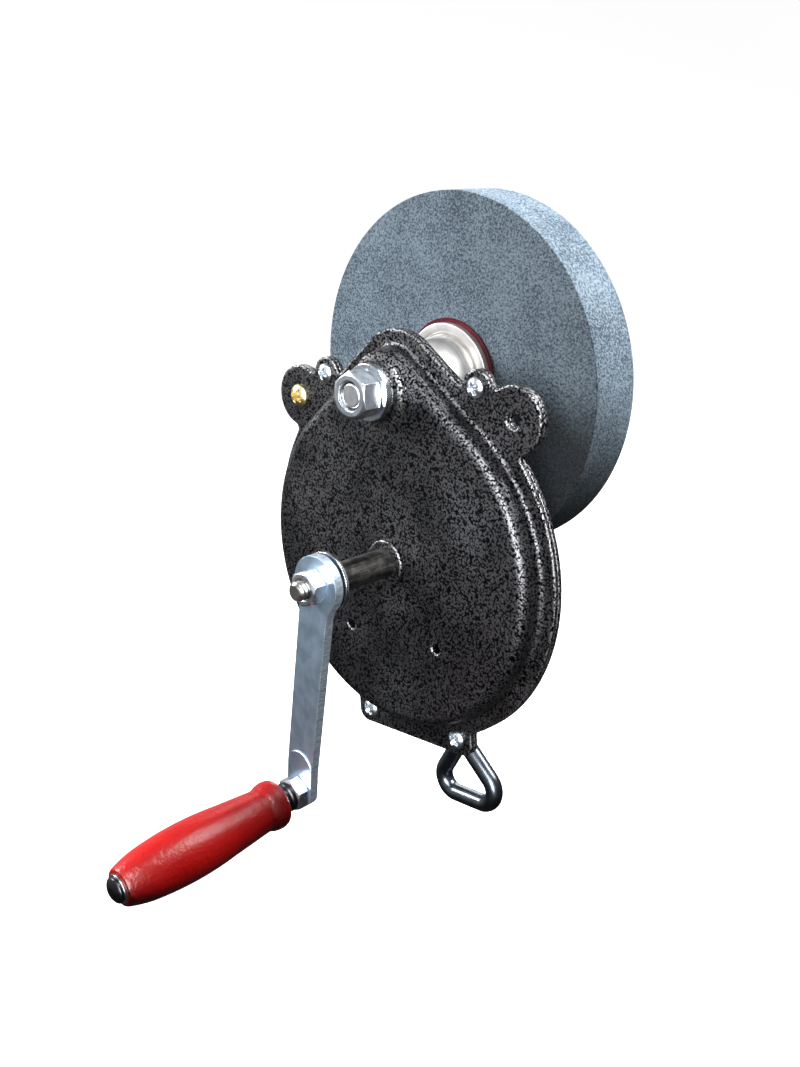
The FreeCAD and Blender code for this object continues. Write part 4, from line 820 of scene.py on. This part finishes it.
class GRINDER_OT_handle(bpy.types.Operator):
    """Make the turned wooden handle, its bolt, ferrule and bright ring"""

    bl_idname = "grinder.handle"
    bl_label = "Handle"
    bl_options = {"REGISTER", "UNDO"}

    def execute(self, context):
        self.grip()
        self.ferrule()
        self.nut()
        self.ring()
        self.bolt()
        return {"FINISHED"}

    def grip(self):
        """The wood: a bead at the arm's end, a narrow neck, then a long swell to the free end."""
        bore, long = 4.08, 77.4
        profile = outline([
            (bore, 0.0), (7.3, 0.0, (9.6, 1.2)), (10.5, 3.6, (10.2, 6.8)), (9.1, 9.6),
            (10.9, 29.4, (11.9, 46.4)), (10.9, 63.5, (9.3, 72.0)), (7.5, long), (bore, long),
        ], 0.5)
        start = self.reach("wooden_handle")[0]
        self.lathe("wooden_handle", "_lacquered", self.eased(profile), start, "wood")

    def ferrule(self):
        """The black sleeve between nut and wood, wider towards the nut."""
        start, end = self.reach("handle_ferrule")
        tall = (end - start) / MM
        wide, narrow = 6.3, 5.7
        seam = (M8_BORE, 1.0)
        profile = outline([seam, (M8_BORE, 0.0), (wide, 0.0), (wide, tall * 0.35),
                           (narrow, tall * 0.55), (narrow, tall), (M8_BORE, tall), seam], 0.35)
        self.lathe("handle_ferrule", "_turned", profile[:-1], start, "black_turned")

    def nut(self):
        """The nut between the arm, where the axis starts, and the ferrule."""
        foot, axis = handle_axis()
        tall = self.reach("handle_ferrule")[0] / MM
        piece = hexagon_nut("handle_nut_chamfered", M8_FLATS, tall, M8_BORE, foot, axis,
                            math.radians(20))
        dress(piece, "zinc", "handle_nut")

    def ring(self):
        """The bright ring between the wood and the bolt's head."""
        start, end = self.reach("handle_ring")
        tall = (end - start) / MM
        radius = 6.0
        profile = plate_outline(M8_BORE, radius, tall, 0.25, 0.3 / tall)
        self.lathe("handle_ring", "_bright", profile, start, "washer")

    def bolt(self):
        """The bolt through the handle, with a low domed head."""
        start, end = self.reach("handle_bolt")
        long = (end - start) / MM
        shank, cap, head = 4.0, 5.3, 3.2
        under = long - head
        dome = under + head * 0.4
        profile = outline([(0.0, 0.0), (shank, 0.0), (shank, under), (cap, under), (cap, dome),
                           (4.9, dome + 0.45, (2.9, long - 0.35)), (0.0, long)], 0.3)
        self.lathe("handle_bolt", "_domed", profile, start, "black_turned", closed=False)

    def lathe(self, node, end, profile, start, kind, closed=True):
        """A lathe piece on the handle's axis, from a place along it in metres, for a node."""
        foot, axis = handle_axis()
        piece = turned(node + end, profile, foot + axis * start, axis, closed=closed)
        dress(piece, kind, node)

    def reach(self, node):
        """First and last place of a round node along the handle's axis, in metres: along Y its
        box passes the middles of its end faces by radius * sqrt(1 - axis_y^2)."""
        foot, axis = handle_axis()
        low, high = (np.array(corner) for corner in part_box(node))
        across = np.sqrt(1 - axis ** 2)
        radius = (high[0] - low[0] - abs(axis[0]) * (high[1] - low[1])) / 2 / across[0]
        first = ((high[1] - radius * across[1]) - foot[1]) / axis[1]
        last = ((low[1] + radius * across[1]) - foot[1]) / axis[1]
        return first, last

    def eased(self, profile):
        """The profile resampled evenly and averaged six times over three points each, so that
        its arcs flow into one another."""
        steps = np.linalg.norm(np.diff(profile, axis=0), axis=1)
        way = np.concatenate([[0.0], np.cumsum(steps)])
        even = np.linspace(0.0, way[-1], 240)
        smooth = np.column_stack([np.interp(even, way, profile[:, k]) for k in (0, 1)])
        for _ in range(6):
            smooth[1:-1] = (smooth[:-2] + smooth[1:-1] * 2 + smooth[2:]) / 4
        return smooth


class GRINDER_OT_wheel(bpy.types.Operator):
    """Make the abrasive wheel, its card washers and flanges, and plate the nuts"""

    bl_idname = "grinder.wheel"
    bl_label = "Wheel"
    bl_options = {"REGISTER", "UNDO"}

    def execute(self, context):
        paint("zinc", "wheel_nut", "wheel_washer")
        place, tall, _ = rear_face("spindle_nut")
        nut = hexagon_nut("spindle_nut_chamfered", M10_FLATS, tall, M10_BORE, place, FORWARD,
                          math.radians(30), mouth=(1.1, 2.6))
        dress(nut, "zinc", "spindle_nut")
        self.plate("front_blotter", "card", WHEEL_BORE, 0.0)
        self.plate("rear_blotter", "card", WHEEL_BORE, 0.0)
        self.plate("grinding_wheel", "abrasive", WHEEL_BORE, 0.5)
        self.plate("spindle_washer", "washer", M10_BORE, 0.4)
        place, tall, rim = rear_face("inner_flange")
        groove_and_dome = [(18.6, 2.7), (18.1, 1.6), (17.6, 2.7, (15.84, 9.74)), (9.0, tall)]
        self.flange("inner_flange", "_domed", place, FORWARD, rim, 8.0, groove_and_dome)
        x, _, z = place
        place = (x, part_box("outer_flange")[0][1], z)
        plain_hub = [(15.8, 2.7), (15.0, 3.5), (15.0, rear_face("outer_flange")[1])]
        self.flange("outer_flange", "_turned", place, BACKWARD, rim, 3.0, plain_hub)
        return {"FINISHED"}

    def plate(self, node, kind, bore, edge):
        """A round plate with the node's own sizes and softened rims."""
        place, thickness, radius = rear_face(node)
        piece = turned(node + "_turned", plate_outline(bore, radius, thickness, edge), place,
                       FORWARD, closed=True, sides=256)
        dress(piece, kind, node)

    def flange(self, node, end, place, direction, rim, seam, hub):
        """A flange hollowed on the wheel's side, so that its rim alone bears. The outline starts
        on the bore at the height of the seam, and hub gives its corners past the rim."""
        hollow, inside, thick = 0.8, 13.4, 2.7
        start = (WHEEL_BORE, seam)
        profile = outline([
            start, (WHEEL_BORE, hollow), (inside, hollow), (inside, 0.0), (rim, 0.0),
            (rim, thick), *hub, (WHEEL_BORE, hub[-1][1]), start,
        ], 0.3)
        piece = turned(node + end, profile[:-1], place, direction, closed=True, sides=192)
        dress(piece, "flange", node)


class GRINDER_OT_clamp(bpy.types.Operator):
    """Bend the clamp screw from one threaded rod, and paint the bracket"""

    bl_idname = "grinder.clamp"
    bl_label = "Bench clamp"
    bl_options = {"REGISTER", "UNDO"}

    def execute(self, context):
        paint("casting", "clamp_bracket")
        paint("steel", "clamp_pad")
        low, high = (np.array(corner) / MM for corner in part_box("clamp_screw"))
        rod = (high[1] - low[1]) / 2
        path = self.rod_path(low, high, rod)
        screw = self.bent_rod("clamp_screw_bent", path, rod, context.scene.grinder_shaft)
        dress(screw, "rod", "clamp_screw")
        return {"FINISHED"}

    def rod_path(self, low, high, rod):
        """The rod's middle line in the XZ plane, in mm: down the stem, along a side that slopes
        by 45 degrees, round two corners of the same radius joined by the base, and back up at
        the lean of the free leg."""
        corner = (high[0] - low[0]) / 2 - rod
        corner_radius = corner / 2
        centre = corner - corner_radius
        base = low[2] + rod
        level = base + corner_radius
        slope = math.sqrt(0.5)
        lean = centre + corner_radius * slope
        leave = level + corner_radius * slope
        apex = leave + lean
        bend = 5.0
        free_leg = 33
        free_end = -rod * 1.40
        tangent = bend * math.tan(math.radians(22.5))
        turn = np.linspace(0, 1, 40)[:, None]
        stem = np.column_stack([np.zeros(400), np.linspace(high[2], apex + tangent, 400)])
        swing = np.radians(180 + 45 * turn)
        first = np.hstack([bend + bend * np.cos(swing), apex + tangent + bend * np.sin(swing)])
        down = np.array([[lean, leave]]) * turn + first[-1] * (1 - turn)
        around = np.radians(45 - 135 * turn)
        right = np.hstack([centre + corner_radius * np.cos(around),
                           level + corner_radius * np.sin(around)])
        around = np.radians(-90 - (90 + free_leg) * turn)
        left = np.hstack([-centre + corner_radius * np.cos(around),
                          level + corner_radius * np.sin(around)])
        rise = np.array([[math.sin(math.radians(free_leg)), math.cos(math.radians(free_leg))]])
        up = left[-1] + rise * turn * (free_end - left[-1, 0]) / rise[0, 0]
        return np.vstack([stem, first[1:], down[1:], right[1:], left, up[1:]])

    def bent_rod(self, name, path, rod, settings):
        """Rings of the rod's radius square to its middle line: point = line + radius * (cos a *
        side + sin a * (0, 1, 0)). The stem starts with a plain pin for the pad, its radius then
        falls by a helix of the thread's form, and both ends close in a shallow cap."""
        pin_radius, pin_end, step = 3.0, 3.8, 0.3
        thread_end, run_out, cap = 46.0, 2.0, 0.8
        steps = np.linalg.norm(np.diff(path, axis=0), axis=1)
        way = np.concatenate([[0.0], np.cumsum(steps)])
        tangent = np.gradient(path, axis=0)
        tangent /= np.linalg.norm(tangent, axis=1)[:, None]
        side = np.column_stack([-tangent[:, 1], np.zeros(len(path)), tangent[:, 0]])
        line = np.column_stack([path[:, 0], np.zeros(len(path)), path[:, 1]])
        angle = np.linspace(0, 2 * math.pi, 64, endpoint=False)[None]
        pitch = settings.pitch / MM
        depth = settings.thread_depth / MM
        phase = (way[:, None] / pitch + angle / (2 * math.pi)) % 1.0
        full = smooth_step((way - pin_end) / step)[:, None]
        threaded = full * smooth_step((thread_end - way) / run_out)[:, None]
        radius = pin_radius + (rod - pin_radius) * full
        radius = radius - depth * np.abs(2 * phase - 1) * threaded
        round_off = np.clip(np.minimum(way, way[-1] - way) / cap, 0, 1)[:, None]
        radius = radius * np.sqrt(1 - (1 - round_off) ** 2)
        across = np.cos(angle)[..., None] * side[:, None, :]
        across = across + np.sin(angle)[..., None] * np.array((0.0, 1.0, 0.0))
        return skin(name, MM * (line[:, None, :] + radius[..., None] * across))


class GRINDER_OT_stage(bpy.types.Operator):
    """Lay the pale floor, set the soft lights and stand the camera where the photo was taken"""

    bl_idname = "grinder.stage"
    bl_label = "Stage, lights and camera"
    bl_options = {"REGISTER", "UNDO"}

    def execute(self, context):
        scene = context.scene
        settings = scene.grinder_stage
        self.floor(settings)
        self.sky(scene, settings)
        self.lamps(scene)
        self.camera(scene, settings)
        return {"FINISHED"}

    def floor(self, settings):
        """A round floor whose edge curls up: (r, z) runs flat and then round a quarter circle.
        It gives light to the camera alone, so that it is white and the object keeps its tones."""
        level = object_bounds()[0][2] - settings.floor_drop
        flat, bend = 1500, 1800
        turn = np.linspace(0, math.pi / 2, 24)
        curl = np.column_stack([flat + bend * np.sin(turn), bend - bend * np.cos(turn)])
        profile = np.vstack([[(0.0, 0.0)], curl])
        bowl = turned("pale_floor", profile, (0.0, 0.0, level), UPWARD, sides=96)
        finish = Finish("pale floor")
        cloud = finish.noise(finish.place(), 0.6, 2.0)
        darker = tuple(part * 0.985 for part in settings.floor)
        tone = finish.mix(cloud, darker, tuple(settings.floor))
        bowl.data.materials.append(finish.surface(tone, 0.7, constants={
            "Specular IOR Level": 0.2, "Emission Color": (1.0, 1.0, 1.0, 1.0),
            "Emission Strength": settings.floor_glow,
        }))
        bowl.visible_glossy = False
        bowl.visible_diffuse = False
        bowl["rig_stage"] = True

    def sky(self, scene, settings):
        """A soft studio that shows in reflections only: pale above, dark below, and dimmer
        towards the right and the back."""
        world = bpy.data.worlds.new("studio")
        scene.world = world
        world.use_nodes = True
        world.node_tree.nodes.clear()
        sky = Finish("studio", world.node_tree)
        sight = sky.node("ShaderNodeTexCoord", output="Generated")
        right = sky.node("ShaderNodeSeparateXYZ", None, {0: sight}, 0)
        away = sky.node("ShaderNodeSeparateXYZ", None, {0: sight}, 1)
        height = sky.node("ShaderNodeSeparateXYZ", None, {0: sight}, 2)
        open_side = 1 - (right + away).rise(-0.2, 1.2) * 0.7
        tone = sky.mix(height.rise(-0.50, 0.10) * open_side, settings.below, settings.above)
        background = sky.node("ShaderNodeBackground", None, {0: tone})
        sky.node("ShaderNodeOutputWorld", None, {0: background})
        world.cycles_visibility.diffuse = False
        scene.view_settings.view_transform = "Standard"

    def lamps(self, scene):
        """Six soft lamps that look at the middle of the housing. Shoulder and crown show in
        reflections only, and fill in none."""
        middle = Vector((0.0, -0.03, 0.04))
        # Name, place in metres, width and height in metres, and watts
        lamps = (
            ("key", (-0.66, -0.48, 0.46), 0.30, 0.30, 10.5),
            ("fill", (0.80, -1.00, 0.30), 0.60, 0.60, 0.6),
            ("shoulder", (0.70, -0.90, 0.22), 0.45, 0.90, 38.0),
            ("crown", (0.40, -0.72, 0.80), 0.45, 0.35, 12.0),
            ("rim", (0.45, 0.53, 0.85), 0.60, 0.60, 28.0),
            ("back", (-0.60, 0.90, 0.50), 0.60, 0.60, 7.0),
        )
        for name, place, width, height, watts in lamps:
            light = bpy.data.lights.new(name + "_light", "AREA")
            light.shape = "RECTANGLE"
            light.size = width
            light.size_y = height
            light.energy = watts
            lamp = bpy.data.objects.new(name + "_light", light)
            lamp.location = place
            lamp.rotation_euler = (middle - Vector(place)).to_track_quat("-Z", "Y").to_euler()
            lamp.visible_diffuse = name not in ("shoulder", "crown")
            lamp.visible_glossy = name != "fill"
            scene.collection.objects.link(lamp)

    def camera(self, scene, settings):
        """Looks along the photo's line: forward from azimuth and elevation, then rolled."""
        turn, lift = settings.azimuth, settings.elevation
        back = Vector((math.sin(turn) * math.cos(lift), -math.cos(turn) * math.cos(lift),
                       math.sin(lift)))
        right = (-back).cross(Vector((0, 0, 1))).normalized()
        up = right.cross(-back)
        roll = settings.roll
        across = right * math.cos(roll) + up * math.sin(roll)
        above = up * math.cos(roll) - right * math.sin(roll)
        view = bpy.data.cameras.new("photo_view")
        view.sensor_fit = "VERTICAL"
        view.sensor_height = 36.0
        view.lens = settings.lens
        view.clip_start = 0.01
        camera = bpy.data.objects.new("photo_view", view)
        turned_view = Matrix((across, above, back)).transposed().to_4x4()
        camera.matrix_world = Matrix.Translation(settings.place) @ turned_view
        scene.collection.objects.link(camera)
        scene.camera = camera


class GRINDER_PT_panel(bpy.types.Panel):
    """Lists the pieces in the order in which they are dressed"""

    bl_idname = "GRINDER_PT_panel"
    bl_label = "Bench grinder"
    bl_space_type = "VIEW_3D"
    bl_region_type = "UI"
    bl_category = "Grinder"

    def draw(self, context):
        for operator, settings in STEPS:
            box = self.layout.box()
            box.operator(operator.bl_idname)
            group = getattr(context.scene, settings, None) if settings else None
            for name in getattr(group, "__annotations__", {}):
                box.prop(group, name)


STEPS = (
    (GRINDER_OT_housing, "grinder_housing"),
    (GRINDER_OT_screws, "grinder_screws"),
    (GRINDER_OT_crank, "grinder_shaft"),
    (GRINDER_OT_handle, "grinder_handle"),
    (GRINDER_OT_wheel, "grinder_wheel"),
    (GRINDER_OT_clamp, None),
    (GRINDER_OT_stage, "grinder_stage"),
)

GROUPS = {
    "grinder_housing": HousingSettings,
    "grinder_screws": ScrewSettings,
    "grinder_shaft": ShaftSettings,
    "grinder_handle": HandleSettings,
    "grinder_wheel": WheelSettings,
    "grinder_stage": StageSettings,
}


CLASSES = [*GROUPS.values(), *(operator for operator, _ in STEPS), GRINDER_PT_panel]


def register():
    """Add the settings, the operators and the panel."""
    for kind in CLASSES:
        bpy.utils.register_class(kind)
    for name, group in GROUPS.items():
        setattr(bpy.types.Scene, name, PointerProperty(type=group))


def unregister():
    """Take them out again, in reverse order."""
    for name in GROUPS:
        delattr(bpy.types.Scene, name)
    for kind in reversed(CLASSES):
        bpy.utils.unregister_class(kind)


def main():
    """Dress and light the whole object."""
    register()
    bpy.ops.grinder.housing()
    bpy.ops.grinder.screws()
    bpy.ops.grinder.crank()
    bpy.ops.grinder.handle()
    bpy.ops.grinder.wheel()
    bpy.ops.grinder.clamp()
    bpy.ops.grinder.stage()


if __name__ == "__main__":
    main()
